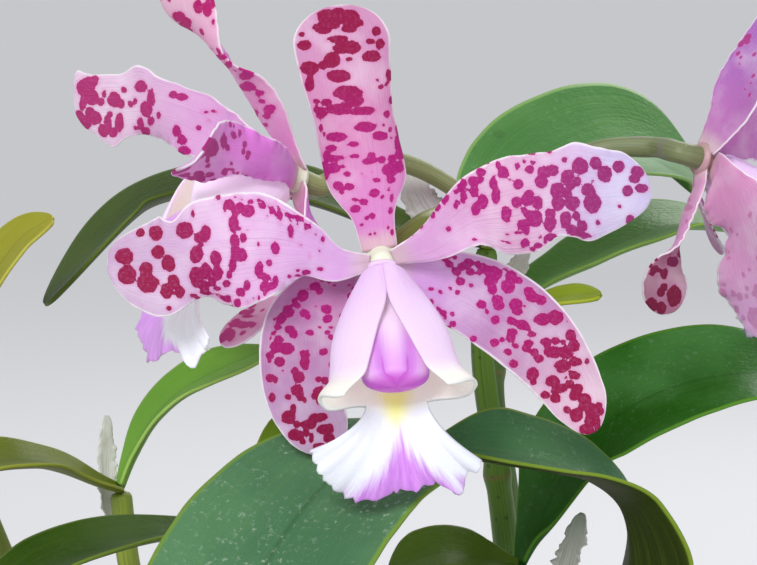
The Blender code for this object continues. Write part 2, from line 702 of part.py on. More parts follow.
# Dry papery sheaths: their midline, the way their open side looks, half their width and their curl in degrees
SHEATHS = {
    "sheath_spathe": (
        [(17.8, 3.6, 232.2), (12, 3.4, 234.5), (7.8, 4.2, 239.5), (5, 5, 247)],
        [(0.2, -1, 0.2), (0.2, -1, 0.2), (0.2, -1, 0)],
        3.2, 40,
    ),
    "sheath_left": (
        [(-51, 10.8, 172), (-53, 11.6, 184), (-53, 12.4, 197)],
        [(0.6, -1, 0), (0.6, -1, 0)],
        1.7, 30,
    ),
    "sheath_right": (
        [(33.4, -2.9, 158), (36.4, -1.4, 169), (39, 0, 180)],
        [(-0.8, -0.6, 0), (-0.8, -0.6, 0.2)],
        3.4, 40,
    ),
    "sheath_back": (
        [(22.2, 26.4, 215), (23, 26, 219.5), (27, 25, 224), (29.3, 24, 229.5)],
        [(0, -1, 0), (0, -1, 0)],
        1.8, 30,
    ),
}

# The canes in the order in which the rhizome and its branch made them
RHIZOME_LINES = [
    ["cane_far_left", "cane_left", "cane_left_front", "cane_front"],
    ["cane_left_front", "cane_back", "cane_flowering", "cane_right"],
]

# Each thick root: the cane it starts under, the way it runs, in degrees from +x, and how far it hangs
ROOTS = [
    ("cane_front", 262, 34),
    ("cane_left_front", 212, 12),
    ("cane_right", 322, 22),
    ("cane_back", 78, 26),
    ("cane_far_left", 160, 16),
]


def make_leaf(name, cane, midline, face, width, fold):
    top = Vector(CANES[cane][-1])
    out = (Vector(midline[0]) - top).normalized()
    sideways = out.cross((top - Vector(CANES[cane][-2])).normalized()).length
    base = top + out * (CANE_TOP_RADIUS * sideways + LEAF_GAP)
    left, right = OWN_SHAPES.get(name, (LEAF_SHAPE, LEAF_SHAPE))
    leaf = {
        "spine": [base] + midline,
        "face": face,
        "left": [LEAF_BASE_HALF + (width / 2 - LEAF_BASE_HALF) * share for share in left],
        "right": [LEAF_BASE_HALF + (width / 2 - LEAF_BASE_HALF) * share for share in right],
        "curl": [16, 14, 12, 10, 6] if name == "leaf_front" else [50, 24, 14, 10, 6],
        "keel": [fold, fold, fold, fold, fold / 2],
        "rounded": 0.72,
    }
    sheet_solid(name, blade_rows(leaf, LEAF_ALONG, LEAF_ACROSS), LEAF_THICKNESS, LEAF_FINISH)


def make_cane(name, waypoints):
    """A slim cane, thicker below its middle, with raised rings at its joints."""
    foot_level = BARK_TOP + 2 * RHIZOME_RADIUS + RHIZOME_LIFT + CLEARANCE
    foot = Vector((waypoints[0][0], waypoints[0][1], foot_level))
    path = smooth_path([foot] + waypoints[1:], CANE_RINGS)
    swell = evenly([CANE_FOOT_RADIUS, CANE_WAIST_RADIUS, 2.8, 2.3, CANE_TOP_RADIUS])
    radii = []
    for k in range(CANE_RINGS + 1):
        at_joint = k % (CANE_RINGS // CANE_JOINTS) == 0 and k > 0
        radii.append(along(swell, k / CANE_RINGS) + (JOINT_PROUD if at_joint else 0.0))
    radii[-1] = CANE_TOP_RADIUS
    tube(name, path, radii, CANE_SIDES, CANE_FINISH)


def make_stalks(feet):
    """The short flower stalk and the three bloom stalks that branch from it, as one grown piece."""
    foot = Vector(CANES["cane_flowering"][-1]) + Vector((0, 0, CLEARANCE))
    fork = Vector(STALK_JOINT) + Vector((0, 0, 1.5))
    pieces = [tube("stalk_foot", [foot, fork], [STALK_RADIUS, STALK_RADIUS + 0.5], 8, STALK_FINISH)]
    for name, path in STALK_PATHS.items():
        end, front = feet[name]
        points = smooth_path(path + [end - front * 5, end - front * CLEARANCE], 12)
        radii = [STALK_RADIUS + (OVARY_RADIUS - STALK_RADIUS) * k / 12 for k in range(13)]
        pieces.append(tube(name + "_stalk", points, radii, 8, STALK_FINISH))
    fuse("flower_stalks", pieces, STALK_FINISH)


def make_rhizome():
    """The creeping stem that the canes stand on, with thick roots over the bark and the pot's rim."""
    level = BARK_TOP + RHIZOME_RADIUS + RHIZOME_LIFT
    feet = {name: Vector((path[0][0], path[0][1], level)) for name, path in CANES.items()}
    pieces = []
    for order in RHIZOME_LINES:
        points = [feet[name] for name in order]
        count = 4 * (len(points) - 1)
        path = smooth_path(points, count)
        radii = [RHIZOME_RADIUS - (0.5 if k % 2 else 0.0) for k in range(count + 1)]
        pieces.append(tube("rhizome", path, radii, 8, ROOT_FINISH))
    root_level = BARK_TOP + ROOT_RADIUS + RHIZOME_LIFT
    rim = POT_TOP_RADIUS + RIM_PROUD + ROOT_RADIUS + CLEARANCE
    over = POT_HEIGHT + ROOT_RADIUS + CLEARANCE
    for name, angle, drop in ROOTS:
        way = Vector((math.cos(math.radians(angle)), math.sin(math.radians(angle)), 0))
        start = feet[name]
        inner = way * (POT_TOP_RADIUS - POT_WALL - 8)
        path = [
            start,
            Vector((start.x * 0.5 + inner.x * 0.5, start.y * 0.5 + inner.y * 0.5, root_level + 1.5)),
            Vector((inner.x, inner.y, root_level + 1.5)),
            way * (POT_TOP_RADIUS - POT_WALL - 3) + Vector((0, 0, over)),
            way * (POT_TOP_RADIUS - 1) + Vector((0, 0, over + 1)),
            way * (rim - 0.6) + Vector((0, 0, over - 1.5)),
            way * (rim + 0.8) + Vector((0, 0, over - 8)),
            way * (rim + 0.4) + Vector((0, 0, over - 8 - drop)),
        ]
        radii = [ROOT_RADIUS] * 14 + [ROOT_RADIUS * 0.8, ROOT_RADIUS * 0.35]
        pieces.append(tube("root", smooth_path(path, 15), radii, 5, ROOT_FINISH))
    fuse("rhizome_and_roots", pieces, ROOT_FINISH)


def make_pot():
    """A plain clay pot with a thick rim and drain holes round the middle of its floor."""
    rim = POT_TOP_RADIUS + RIM_PROUD
    below_rim = POT_HEIGHT - RIM_HEIGHT
    mouth = POT_TOP_RADIUS - POT_WALL
    inner_foot = POT_FOOT_RADIUS - POT_WALL
    profile = [
        (0, 0),
        (POT_FOOT_RADIUS - 1.2, 0),
        (POT_FOOT_RADIUS, 1.2),
        (POT_TOP_RADIUS - 2.4, below_rim),
        (rim - 1.6, below_rim),
        (rim, POT_HEIGHT - 1.6),
        (rim - 1.6, POT_HEIGHT),
        (mouth + 1, POT_HEIGHT),
        (mouth, POT_HEIGHT - 1.2),
        (inner_foot, POT_FLOOR + 2),
        (inner_foot - 2, POT_FLOOR),
        (0, POT_FLOOR),
    ]
    mesh = bmesh.new()
    points = [mesh.verts.new(Vector((r, 0, z)) * MM) for r, z in profile]
    edges = [mesh.edges.new(pair) for pair in zip(points, points[1:])]
    bmesh.ops.spin(
        mesh, geom=points + edges, cent=(0, 0, 0), axis=(0, 0, 1), angle=2 * math.pi, steps=POT_SIDES,
        use_merge=True,
    )
    bmesh.ops.remove_doubles(mesh, verts=mesh.verts, dist=0.00005)
    bmesh.ops.recalc_face_normals(mesh, faces=mesh.faces)
    data = bpy.data.meshes.new("pot")
    mesh.to_mesh(data)
    mesh.free()
    data.materials.append(CLAY_FINISH)
    pot = bpy.data.objects.new("pot", data)
    bpy.context.scene.collection.objects.link(pot)
    for k in range(DRAIN_COUNT):
        turn = 2 * math.pi * k / DRAIN_COUNT + math.pi / 2
        at = Vector((math.cos(turn), math.sin(turn), 0)) * DRAIN_RING
        ends = [at + Vector((0, 0, -5)), at + Vector((0, 0, POT_FLOOR + 5))]
        cutter = tube(f"drain_{k}", ends, [DRAIN_RADIUS] * 2, 12, CLAY_FINISH)
        cut = pot.modifiers.new(f"Drain {k}", "BOOLEAN")
        cut.operation = "DIFFERENCE"
        cut.object = cutter
        cut.solver = "EXACT"
    apply_modifiers(pot)
    for k in range(DRAIN_COUNT):
        bpy.data.objects.remove(bpy.data.objects[f"drain_{k}"])
    pot.data.shade_smooth()
    pot.data.set_sharp_from_angle(angle=math.radians(35))


def near_roots(point, reach):
    """Whether a chip at this place would touch the rhizome, a root or a cane's foot."""
    level = Vector((point.x, point.y, 0))
    feet = {name: Vector((path[0][0], path[0][1], 0)) for name, path in CANES.items()}
    lines = [list(feet.values())]
    for order in RHIZOME_LINES:
        lines.append(smooth_path([feet[name] for name in order], 12))
    for name, angle, _ in ROOTS:
        way = Vector((math.cos(math.radians(angle)), math.sin(math.radians(angle)), 0))
        lines.append(smooth_path([feet[name], way * (POT_TOP_RADIUS - POT_WALL)], 10))
    return any((level - p).length < reach for line in lines for p in line)


def make_bark():
    """The bed of bark that fills the pot, with loose chips sunk into its top."""
    wall_at_top = POT_TOP_RADIUS - POT_WALL - 2.2
    wall_at_floor = POT_FOOT_RADIUS - POT_WALL - 2.4
    ends = [Vector((0, 0, POT_FLOOR + CLEARANCE)), Vector((0, 0, BARK_TOP))]
    bed = tube("bed", ends, [wall_at_floor, wall_at_top], 32, BARK_FINISH)
    pieces = [bed]
    rng = random.Random(CHIP_SEED)
    while len(pieces) <= CHIP_COUNT:
        turn = rng.uniform(0, 2 * math.pi)
        out = math.sqrt(rng.uniform(0, 1)) * (wall_at_top - 8)
        at = Vector((math.cos(turn) * out, math.sin(turn) * out, BARK_TOP))
        size = Vector((rng.uniform(4, 7), rng.uniform(3, 5), rng.uniform(1.6, 2.6)))
        if near_roots(at, 4.6 + size.x):
            continue
        turned = Matrix.Rotation(rng.uniform(0, math.pi), 3, "Z")
        tilt = turned @ Matrix.Rotation(rng.uniform(-0.3, 0.3), 3, "X")
        lift = Vector((0, 0, rng.uniform(-0.4, 0.8)))
        corners = []
        for x in (-1, 1):
            for y in (-1, 1):
                for z in (-CHIP_ROOT, size.z):
                    dent = rng.uniform(0.7, 1.0) if z > 0 else 1.0
                    corners.append(tilt @ Vector((x * size.x * dent, y * size.y * dent, z)) + at + lift)
        faces = [(0, 1, 3, 2), (4, 6, 7, 5), (0, 4, 5, 1), (2, 3, 7, 6), (0, 2, 6, 4), (1, 5, 7, 3)]
        pieces.append(object_of("chip", corners, faces, BARK_FINISH))
    fuse("bark", pieces, BARK_FINISH)


for old in list(bpy.data.objects):
    bpy.data.objects.remove(old)

LEAF_FINISH = material("leaf", GREEN, 0.42)
CANE_FINISH = material("cane", CANE_GREEN, 0.45)
STALK_FINISH = material("stalk", STALK_GREEN, 0.5)
PETAL_FINISH = material("petal", PETAL_PINK, 0.5)
LIP_FINISH = material("lip", LIP_WHITE, 0.5)
COLUMN_FINISH = material("column", COLUMN_PURPLE, 0.4)
PAPER_FINISH = material("paper", PAPER_WHITE, 0.8)
CLAY_FINISH = material("clay", CLAY_RED, 0.85)
BARK_FINISH = material("bark", BARK_BROWN, 0.9)
ROOT_FINISH = material("root", ROOT_GREY, 0.7)

make_pot()
make_bark()
make_rhizome()
for cane_name, cane_path in CANES.items():
    make_cane(cane_name, cane_path)
for leaf_name, leaf_parts in LEAVES.items():
    make_leaf(leaf_name, *leaf_parts)
for sheath_name, (midline, open_way, half, wrap) in SHEATHS.items():
    sheath = {
        "spine": midline,
        "face": open_way,
        "left": [half * 0.6, half, half * 0.9, half * 0.5],
        "curl": [wrap, wrap, 0],
    }
    sheet_solid(sheath_name, blade_rows(sheath, 6, 4), PETAL_THICKNESS, PAPER_FINISH)
make_stalks({bloom_name: bloom(bloom_name, *parts) for bloom_name, parts in BLOOMS.items()})
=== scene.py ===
"""The look of a cattleya orchid in bloom in a clay pot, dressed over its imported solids.

Shapes are given in millimetres and the blooms' petals in the same numbers as the solids, so every piece lies
where its solid does. The file goes up the plant: pot, bark, roots, canes, leaves, sheaths, stalks, blooms.
"""

import math
import random
from functools import lru_cache

import bpy
from mathutils import Matrix, Vector, noise


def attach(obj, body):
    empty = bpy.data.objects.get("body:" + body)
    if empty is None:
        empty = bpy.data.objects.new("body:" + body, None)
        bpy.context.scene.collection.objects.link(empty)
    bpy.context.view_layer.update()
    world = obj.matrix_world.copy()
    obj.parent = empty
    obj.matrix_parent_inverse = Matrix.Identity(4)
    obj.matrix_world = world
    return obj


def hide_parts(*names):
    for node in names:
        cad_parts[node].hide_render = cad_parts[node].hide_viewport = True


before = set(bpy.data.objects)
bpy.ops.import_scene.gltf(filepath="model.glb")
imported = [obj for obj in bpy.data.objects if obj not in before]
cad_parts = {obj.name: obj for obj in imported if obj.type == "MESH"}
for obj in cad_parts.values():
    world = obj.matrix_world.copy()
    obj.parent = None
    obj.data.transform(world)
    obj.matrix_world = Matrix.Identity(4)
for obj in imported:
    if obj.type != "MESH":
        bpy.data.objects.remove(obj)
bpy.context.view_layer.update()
MM = 0.001

# The pot
# A plain unglazed clay pot with a thick band for a rim and three drain holes through its floor. It was thrown
# on a wheel, fired, and has since taken up lime and damp from watering.

POT_HEIGHT = 88.0
POT_FOOT_RADIUS = 44.0
POT_TOP_RADIUS = 57.0
POT_WALL = 4.5
POT_FLOOR = 6.0
RIM_HEIGHT = 17.0
RIM_PROUD = 3.5
RIM_TAPER = 0.6
WALL_UNDER_RIM = POT_TOP_RADIUS - 2.4
DRAIN_RADIUS = 4.5
DRAIN_RING = 24.0
DRAIN_COUNT = 3
DRILL_DEPTH = 30.0
POT_SIDES = 96
CLAY_EDGE = 0.9


def tone(red, green, blue):
    """A colour read off a paint chart, 0 to 255, in the linear values that a shader takes."""
    chart = [channel / 255 for channel in (red, green, blue)]
    return (*[c / 12.92 if c <= 0.04045 else ((c + 0.055) / 1.055) ** 2.4 for c in chart], 1.0)


def new_finish(name, roughness):
    """A new material with its tree of nodes and its shader."""
    made = bpy.data.materials.new(name)
    made.use_nodes = True
    shader = made.node_tree.nodes["Principled BSDF"]
    shader.inputs["Roughness"].default_value = roughness
    return made, made.node_tree, shader


def add_node(tree, kind, inputs=None, **settings):
    """A node whose inputs are set to values or joined to other nodes' outputs."""
    made = tree.nodes.new(kind)
    for key, value in settings.items():
        setattr(made, key, value)
    for key, value in (inputs or {}).items():
        if isinstance(value, bpy.types.NodeSocket):
            tree.links.new(value, made.inputs[key])
        else:
            made.inputs[key].default_value = value
    return made


def blend(tree, share, first, second):
    """The first colour where share is 0 and the second where it is 1."""
    mixer = add_node(tree, "ShaderNodeMix", {0: share, 6: first, 7: second}, data_type="RGBA")
    return mixer.outputs[2]


def fade(tree, value, start, end, low=0.0, high=1.0):
    """Runs smoothly from low to high while value runs from start to end."""
    inputs = {"Value": value, "From Min": start, "From Max": end, "To Min": low, "To Max": high}
    return add_node(tree, "ShaderNodeMapRange", inputs, interpolation_type="SMOOTHSTEP").outputs[0]


def graded(tree, first, second, value, start, end, most=1.0):
    """The first colour, passing into up to the share most of the second as value runs from start to end."""
    return blend(tree, fade(tree, value, start, end, 0, most), first, second)


def maths(tree, operation, first, second=0.0):
    return add_node(tree, "ShaderNodeMath", {0: first, 1: second}, operation=operation).outputs[0]


def times(tree, first, second):
    return maths(tree, "MULTIPLY", first, second)


def plus(tree, first, second):
    return maths(tree, "ADD", first, second)


def minus(tree, first, second):
    return maths(tree, "SUBTRACT", first, second)


def place_of(tree):
    """Where a point lies on the object, in metres."""
    return add_node(tree, "ShaderNodeTexCoord").outputs["Object"]


def grain(tree, where, scale, detail=3.0, rough=0.5):
    inputs = {"Vector": where, "Scale": scale, "Detail": detail, "Roughness": rough}
    return add_node(tree, "ShaderNodeTexNoise", inputs).outputs["Fac"]


def bumps(tree, shader, height, depth, strength):
    inputs = {"Height": height, "Distance": depth, "Strength": strength}
    normal = add_node(tree, "ShaderNodeBump", inputs).outputs["Normal"]
    tree.links.new(normal, shader.inputs["Normal"])


def colour_from(tree, shader, colour):
    tree.links.new(colour, shader.inputs["Base Color"])


def only(*pieces):
    """Selects these pieces alone and makes the first one active."""
    bpy.ops.object.select_all(action="DESELECT")
    for piece in pieces:
        piece.select_set(True)
    bpy.context.view_layer.objects.active = pieces[0]


def stands_for(piece, slot, *nodes):
    """The piece rides on the plant's one body and is shown for its solids; slot is not used."""
    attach(piece, "root")
    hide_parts(*nodes)


def clay_finish():
    made, tree, shader = new_finish("fired_clay", 0.86)
    where = place_of(tree)
    height = add_node(tree, "ShaderNodeSeparateXYZ", {0: where}).outputs["Z"]
    body = graded(tree, tone(176, 96, 62), tone(200, 122, 84), grain(tree, where, 22, 5), 0.3, 0.7)
    body = graded(tree, body, tone(140, 72, 48), grain(tree, where, 260, 4), 0.45, 0.75, 0.5)
    lime = times(tree, fade(tree, grain(tree, where, 30, 6, 0.7), 0.52, 0.7), 0.5)
    body = blend(tree, lime, body, tone(222, 200, 180))
    damp = plus(tree, height, times(tree, grain(tree, where, 34, 4), 0.03))
    body = graded(tree, body, tone(110, 62, 44), damp, 0.05, 0.02, 0.55)
    colour_from(tree, shader, body)
    turning = add_node(
        tree, "ShaderNodeTexWave", {"Vector": where, "Scale": 90, "Distortion": 1.2, "Detail": 2},
        bands_direction="Z",
    ).outputs["Fac"]
    relief = plus(tree, grain(tree, where, 700, 4), times(tree, turning, 0.35))
    bumps(tree, shader, relief, 0.0004, 0.6)
    return made


def ring_up(radius, height):
    """Extrudes the selected ring of the pot's wall to the next radius and height."""
    bpy.ops.mesh.extrude_region_move(TRANSFORM_OT_translate={"value": (0, 0, height * MM - ring_up.height)})
    scale = radius * MM / ring_up.radius
    bpy.ops.transform.resize(value=(scale, scale, 1), center_override=(0, 0, 0))
    ring_up.height, ring_up.radius = height * MM, radius * MM


below_rim = POT_HEIGHT - RIM_HEIGHT
pot_rings = [
    (WALL_UNDER_RIM, below_rim),
    (POT_TOP_RADIUS + RIM_PROUD - RIM_TAPER, below_rim),
    (POT_TOP_RADIUS + RIM_PROUD, POT_HEIGHT),
    (POT_TOP_RADIUS - POT_WALL, POT_HEIGHT),
    (POT_FOOT_RADIUS - POT_WALL, POT_FLOOR),
]
bpy.ops.object.select_all(action="DESELECT")
bpy.ops.mesh.primitive_circle_add(vertices=POT_SIDES, radius=POT_FOOT_RADIUS * MM, fill_type="NGON")
pot = bpy.context.object
pot.name = "clay_pot"
ring_up.height, ring_up.radius = 0.0, POT_FOOT_RADIUS * MM
bpy.ops.object.mode_set(mode="EDIT")
for ring_radius, ring_height in pot_rings:
    ring_up(ring_radius, ring_height)
bpy.ops.mesh.select_all(action="SELECT")
bpy.ops.mesh.normals_make_consistent(inside=False)
bpy.ops.object.mode_set(mode="OBJECT")
for hole in range(DRAIN_COUNT):
    turn = 2 * math.pi * hole / DRAIN_COUNT + math.pi / 2
    at = (math.cos(turn) * DRAIN_RING * MM, math.sin(turn) * DRAIN_RING * MM, POT_FLOOR / 2 * MM)
    bpy.ops.mesh.primitive_cylinder_add(
        vertices=32, radius=DRAIN_RADIUS * MM, depth=DRILL_DEPTH * MM, location=at
    )
    drill = bpy.context.object
    only(pot)
    cut = pot.modifiers.new("drain", "BOOLEAN")
    cut.operation = "DIFFERENCE"
    cut.object = drill
    bpy.ops.object.modifier_apply(modifier=cut.name)
    bpy.data.objects.remove(drill)
soften = pot.modifiers.new("worn_edges", "BEVEL")
soften.width = CLAY_EDGE * MM
soften.segments = 3
soften.limit_method = "ANGLE"
soften.angle_limit = math.radians(50)
bpy.ops.object.modifier_apply(modifier=soften.name)
bpy.ops.object.shade_smooth_by_angle(angle=math.radians(32))
pot.data.materials.append(clay_finish())
stands_for(pot, "clay", "pot")

# The bark
# The roots grow in chips of fir bark, wetted and pressed into the pot. Four kinds of chip are broken out of a
# block, and copies of them are strewn over a dark bed, deeper where the stem and the roots creep over it.

BARK_TOP = 77.0
BED_RADIUS = 50.2
BED_TAPER = 0.76
CHIP_COUNT = 330
CHIP_DROP = 2.2
STEM_REACH = 6.0
CHIP_SIZES = [(5.4, 3.4, 1.5), (4.2, 3.2, 1.9), (6.6, 2.6, 1.3), (3.6, 2.8, 2.2)]
# Fixed seeds, so that the chips are broken and strewn the same way each time
chip_rng = random.Random(11)
noise.seed_set(11)

# The canes that each line of the creeping stem joins, and each root's cane, angle in degrees and drop
RHIZOME_LINES = [
    ["cane_far_left", "cane_left", "cane_left_front", "cane_front"],
    ["cane_left_front", "cane_back", "cane_flowering", "cane_right"],
]
ROOTS = [
    ("cane_front", 262, 34),
    ("cane_left_front", 212, 12),
    ("cane_right", 322, 22),
    ("cane_back", 78, 26),
    ("cane_far_left", 160, 16),
]
# Each cane's midline from its foot to its top
CANES = {
    "cane_flowering": [
        (22, 10, 0), (28, 13, 140), (25.4, 11, 168), (22.4, 9, 191), (20, 7, 210), (20.7, 5, 231),
    ],
    "cane_front": [(-4, -16, 0), (-9, -18, 120), (-5, -21, 168), (2, -25, 186), (9, -28, 197)],
    "cane_right": [(32, 0, 0), (36, -4, 120), (31, -5, 155), (27, -4, 170)],
    "cane_back": [(12, 20, 0), (20, 28, 130), (26, 29, 173), (23, 27, 198), (23, 26, 214)],
    "cane_left": [(-26, 6, 0), (-38, 8, 130), (-48, 8, 166), (-50, 8, 183)],
    "cane_left_front": [(-12, -8, 0), (-14, -8, 130), (-20, -8, 176)],
    "cane_far_left": [(-38, 14, 0), (-58, 14, 130), (-78, 14, 180), (-84, 14, 198)],
}


def along(stations, t):
    """The smooth value at t through (t, value) stations: a cubic with finite-difference slopes."""
    t = min(max(t, stations[0][0]), stations[-1][0])
    last = len(stations) - 2
    k = next((i for i in range(last + 1) if t <= stations[i + 1][0]), last)

    def slope(i):
        low, high = max(i - 1, 0), min(i + 1, last + 1)
        return (stations[high][1] - stations[low][1]) / (stations[high][0] - stations[low][0])

    (t0, v0), (t1, v1) = stations[k], stations[k + 1]
    span = t1 - t0
    u = (t - t0) / span
    rise = u * u * (3 - 2 * u)
    bend = slope(k) * (span * u * (1 - u) ** 2) - slope(k + 1) * (span * u * u * (1 - u))
    return v0 * (1 - rise) + v1 * rise + bend


def evenly(values):
    """Stations that share out 0 to 1 evenly."""
    return [(i / (len(values) - 1), v) for i, v in enumerate(values)]


def by_length(points):
    """Stations at each point's share of the way along the line through them."""
    travelled = [0.0]
    for a, b in zip(points, points[1:]):
        travelled.append(travelled[-1] + (b - a).length)
    return [(d / travelled[-1], p) for d, p in zip(travelled, points)]


def smooth_path(points, count):
    """count + 1 points, evenly spread along the smooth line through the given ones."""
    spine = by_length([Vector(p) for p in points])
    return [along(spine, i / count) for i in range(count + 1)]


def heading(spine, t):
    """The way that a line runs at t."""
    return (along(spine, min(t + 0.02, 1.0)) - along(spine, max(t - 0.02, 0.0))).normalized()


def toward(degrees):
    """The level direction at an angle."""
    return Vector((math.cos(math.radians(degrees)), math.sin(math.radians(degrees)), 0))


def joined(name, pieces):
    only(*pieces)
    bpy.ops.object.join()
    pieces[0].name = name
    return pieces[0]


def bark_finish(name, dark, light):
    """Bark whose tone differs from chip to chip, by the tone kept with each chip."""
    made, tree, shader = new_finish(name, 0.92)
    where = place_of(tree)
    chip = add_node(tree, "ShaderNodeAttribute", attribute_name="chip_tone").outputs["Fac"]
    body = blend(tree, chip, dark, light)
    streaks = grain(tree, where, 190, 6, 0.65)
    body = graded(tree, body, tone(58, 36, 26), streaks, 0.35, 0.75, 0.75)
    body = graded(tree, body, tone(168, 132, 98), grain(tree, where, 90, 3), 0.62, 0.8, 0.4)
    colour_from(tree, shader, body)
    bumps(tree, shader, grain(tree, where, 420, 5, 0.7), 0.0012, 0.9)
    return made


def chip_block(size):
    """One broken chip of bark, as a mesh of its own with uneven faces."""
    bpy.ops.object.select_all(action="DESELECT")
    bpy.ops.mesh.primitive_cube_add(size=2 * MM)
    made = bpy.context.object
    bpy.ops.object.mode_set(mode="EDIT")
    bpy.ops.transform.resize(value=size)
    bpy.ops.mesh.subdivide(number_cuts=2)
    bpy.ops.object.mode_set(mode="OBJECT")
    for vertex in made.data.vertices:
        rounding = 1 - 0.16 * (vertex.co / MM).length / sum(size)
        shift = noise.noise_vector(vertex.co * 330 + Vector(size)) * 0.9 * MM
        vertex.co = vertex.co * rounding + shift
    return made


foot_of = {name: Vector((path[0][0], path[0][1], 0)) for name, path in CANES.items()}
stem_marks = []
for order in RHIZOME_LINES:
    stem_marks += smooth_path([foot_of[name] for name in order], 30)
for root_cane, angle, _ in ROOTS:
    stem_marks += smooth_path([foot_of[root_cane], toward(angle) * BED_RADIUS], 24)

bpy.ops.object.select_all(action="DESELECT")
bpy.ops.mesh.primitive_circle_add(vertices=72, radius=BED_RADIUS * MM, fill_type="NGON")
bark = bpy.context.object
bpy.ops.object.mode_set(mode="EDIT")
bpy.ops.transform.translate(value=(0, 0, (POT_FLOOR + 0.4) * MM))
bpy.ops.transform.resize(value=(BED_TAPER, BED_TAPER, 1), center_override=(0, 0, 0))
bpy.ops.mesh.extrude_region_move(TRANSFORM_OT_translate={"value": (0, 0, (BARK_TOP - POT_FLOOR - 1.2) * MM)})
bpy.ops.transform.resize(value=(1 / BED_TAPER, 1 / BED_TAPER, 1), center_override=(0, 0, 0))
bpy.ops.mesh.select_all(action="SELECT")
bpy.ops.mesh.normals_make_consistent(inside=False)
bpy.ops.object.mode_set(mode="OBJECT")
bark.data.attributes.new("chip_tone", "FLOAT", "POINT")
chip_kinds = [chip_block(size) for size in CHIP_SIZES]
chips = []
while len(chips) < CHIP_COUNT:
    way = chip_rng.uniform(0, 2 * math.pi)
    out = math.sqrt(chip_rng.uniform(0, 1)) * (BED_RADIUS - 4.5)
    spot = Vector((math.cos(way) * out, math.sin(way) * out, 0))
    kind = chip_rng.choice(chip_kinds)
    tilt = Matrix.Rotation(chip_rng.uniform(0, 2 * math.pi), 4, "Z")
    tilt = tilt @ Matrix.Rotation(chip_rng.uniform(-0.35, 0.35), 4, "X")
    tilt = tilt @ Matrix.Rotation(chip_rng.uniform(-0.25, 0.25), 4, "Y")
    lift = chip_rng.uniform(-1.0, 0.6)
    shade = chip_rng.uniform(0, 1)
    if any((spot - mark).length < STEM_REACH for mark in stem_marks):
        lift -= CHIP_DROP
    chip = bpy.data.objects.new("chip", kind.data.copy())
    chip.data.transform(Matrix.Translation((spot + Vector((0, 0, BARK_TOP + lift))) * MM) @ tilt)
    kept = chip.data.attributes.new("chip_tone", "FLOAT", "POINT")
    kept.data.foreach_set("value", [shade] * len(chip.data.vertices))
    bpy.context.scene.collection.objects.link(chip)
    chips.append(chip)
for kind in chip_kinds:
    bpy.data.objects.remove(kind)
joined("bark_chips", [bark] + chips)
bpy.ops.object.shade_smooth_by_angle(angle=math.radians(38))
bark.data.materials.append(bark_finish("fir_bark", tone(84, 52, 36), tone(150, 104, 72)))
stands_for(bark, "bark", "bark")

# The creeping stem and its roots
# The stem creeps over the bark, ringed where each season's growth stopped. Its thick roots run out over the
# rim and hang down the pot, chalky white with green growing tips.

RHIZOME_RADIUS = 3.6
RHIZOME_LIFT = 0.6
ROOT_RADIUS = 1.7
CLEARANCE = 0.35


def tip_rounding(t, start):
    """Shrinks a piece's width to nothing at its tip, along a quarter ellipse from start on."""
    return 1.0 if t <= start else math.sqrt(max(0.0, 1 - ((t - start) / (1 - start)) ** 2))


def shaped_grid(name, columns, rows, point_at, keep=None):
    """A flat grid whose points are carried to point_at(s, t), s from -1 to 1 across and t from 0 to 1 along.

    keep, where given, says of a face's middle whether the face stays. The grid keeps its own UV map.
    """
    bpy.ops.object.select_all(action="DESELECT")
    bpy.ops.mesh.primitive_grid_add(x_subdivisions=columns, y_subdivisions=rows, size=2)
    made = bpy.context.object
    made.name = name
    if keep is not None:
        bpy.ops.object.mode_set(mode="EDIT")
        bpy.ops.mesh.select_mode(type="FACE")
        bpy.ops.mesh.select_all(action="DESELECT")
        bpy.ops.object.mode_set(mode="OBJECT")
        for face in made.data.polygons:
            face.select = not keep(face.center.x, (face.center.y + 1) / 2)
        bpy.ops.object.mode_set(mode="EDIT")
        bpy.ops.mesh.delete(type="FACE")
        bpy.ops.mesh.select_mode(type="VERT")
        bpy.ops.object.mode_set(mode="OBJECT")
    for vertex in made.data.vertices:
        vertex.co = point_at(vertex.co.x, (vertex.co.y + 1) / 2) * MM
    bpy.ops.object.shade_smooth()
    return made


def close_up():
    """Merges the seam and the ends of a rolled grid and turns its faces outwards."""
    bpy.ops.object.mode_set(mode="EDIT")
    bpy.ops.mesh.select_all(action="SELECT")
    bpy.ops.mesh.remove_doubles(threshold=0.000002)
    bpy.ops.mesh.normals_make_consistent(inside=False)
    bpy.ops.object.mode_set(mode="OBJECT")


def rolled(name, path, radius_at, sides, rows, flatten=1.0, width_axis=None):
    """A grid rolled round a path. Its UV map runs once round it and once along it."""
    spine = by_length([Vector(p) for p in path])
    frames = []
    across = width_axis
    for k in range(rows + 1):
        t = k / rows
        ahead = heading(spine, t)
        if across is None:
            across = Vector((0, 0, 1)) if abs(ahead.z) < 0.7 else Vector((1, 0, 0))
        across = (across - across.dot(ahead) * ahead).normalized()
        frames.append((along(spine, t), across, ahead.cross(across)))

    def point(s, t):
        centre, wide, other = frames[round(t * rows)]
        turn = math.pi * s
        radius = 0.0 if t in (0.0, 1.0) else radius_at(t, turn)
        return centre + wide * (radius * math.cos(turn)) + other * (radius * flatten * math.sin(turn))

    made = shaped_grid(name, sides, rows, point)
    close_up()
    return made


def own_map(tree):
    """How far round or across, and how far along, a point lies on its piece, each from 0 to 1."""
    both = add_node(tree, "ShaderNodeSeparateXYZ", {0: add_node(tree, "ShaderNodeTexCoord").outputs["UV"]})
    return both.outputs["X"], both.outputs["Y"]


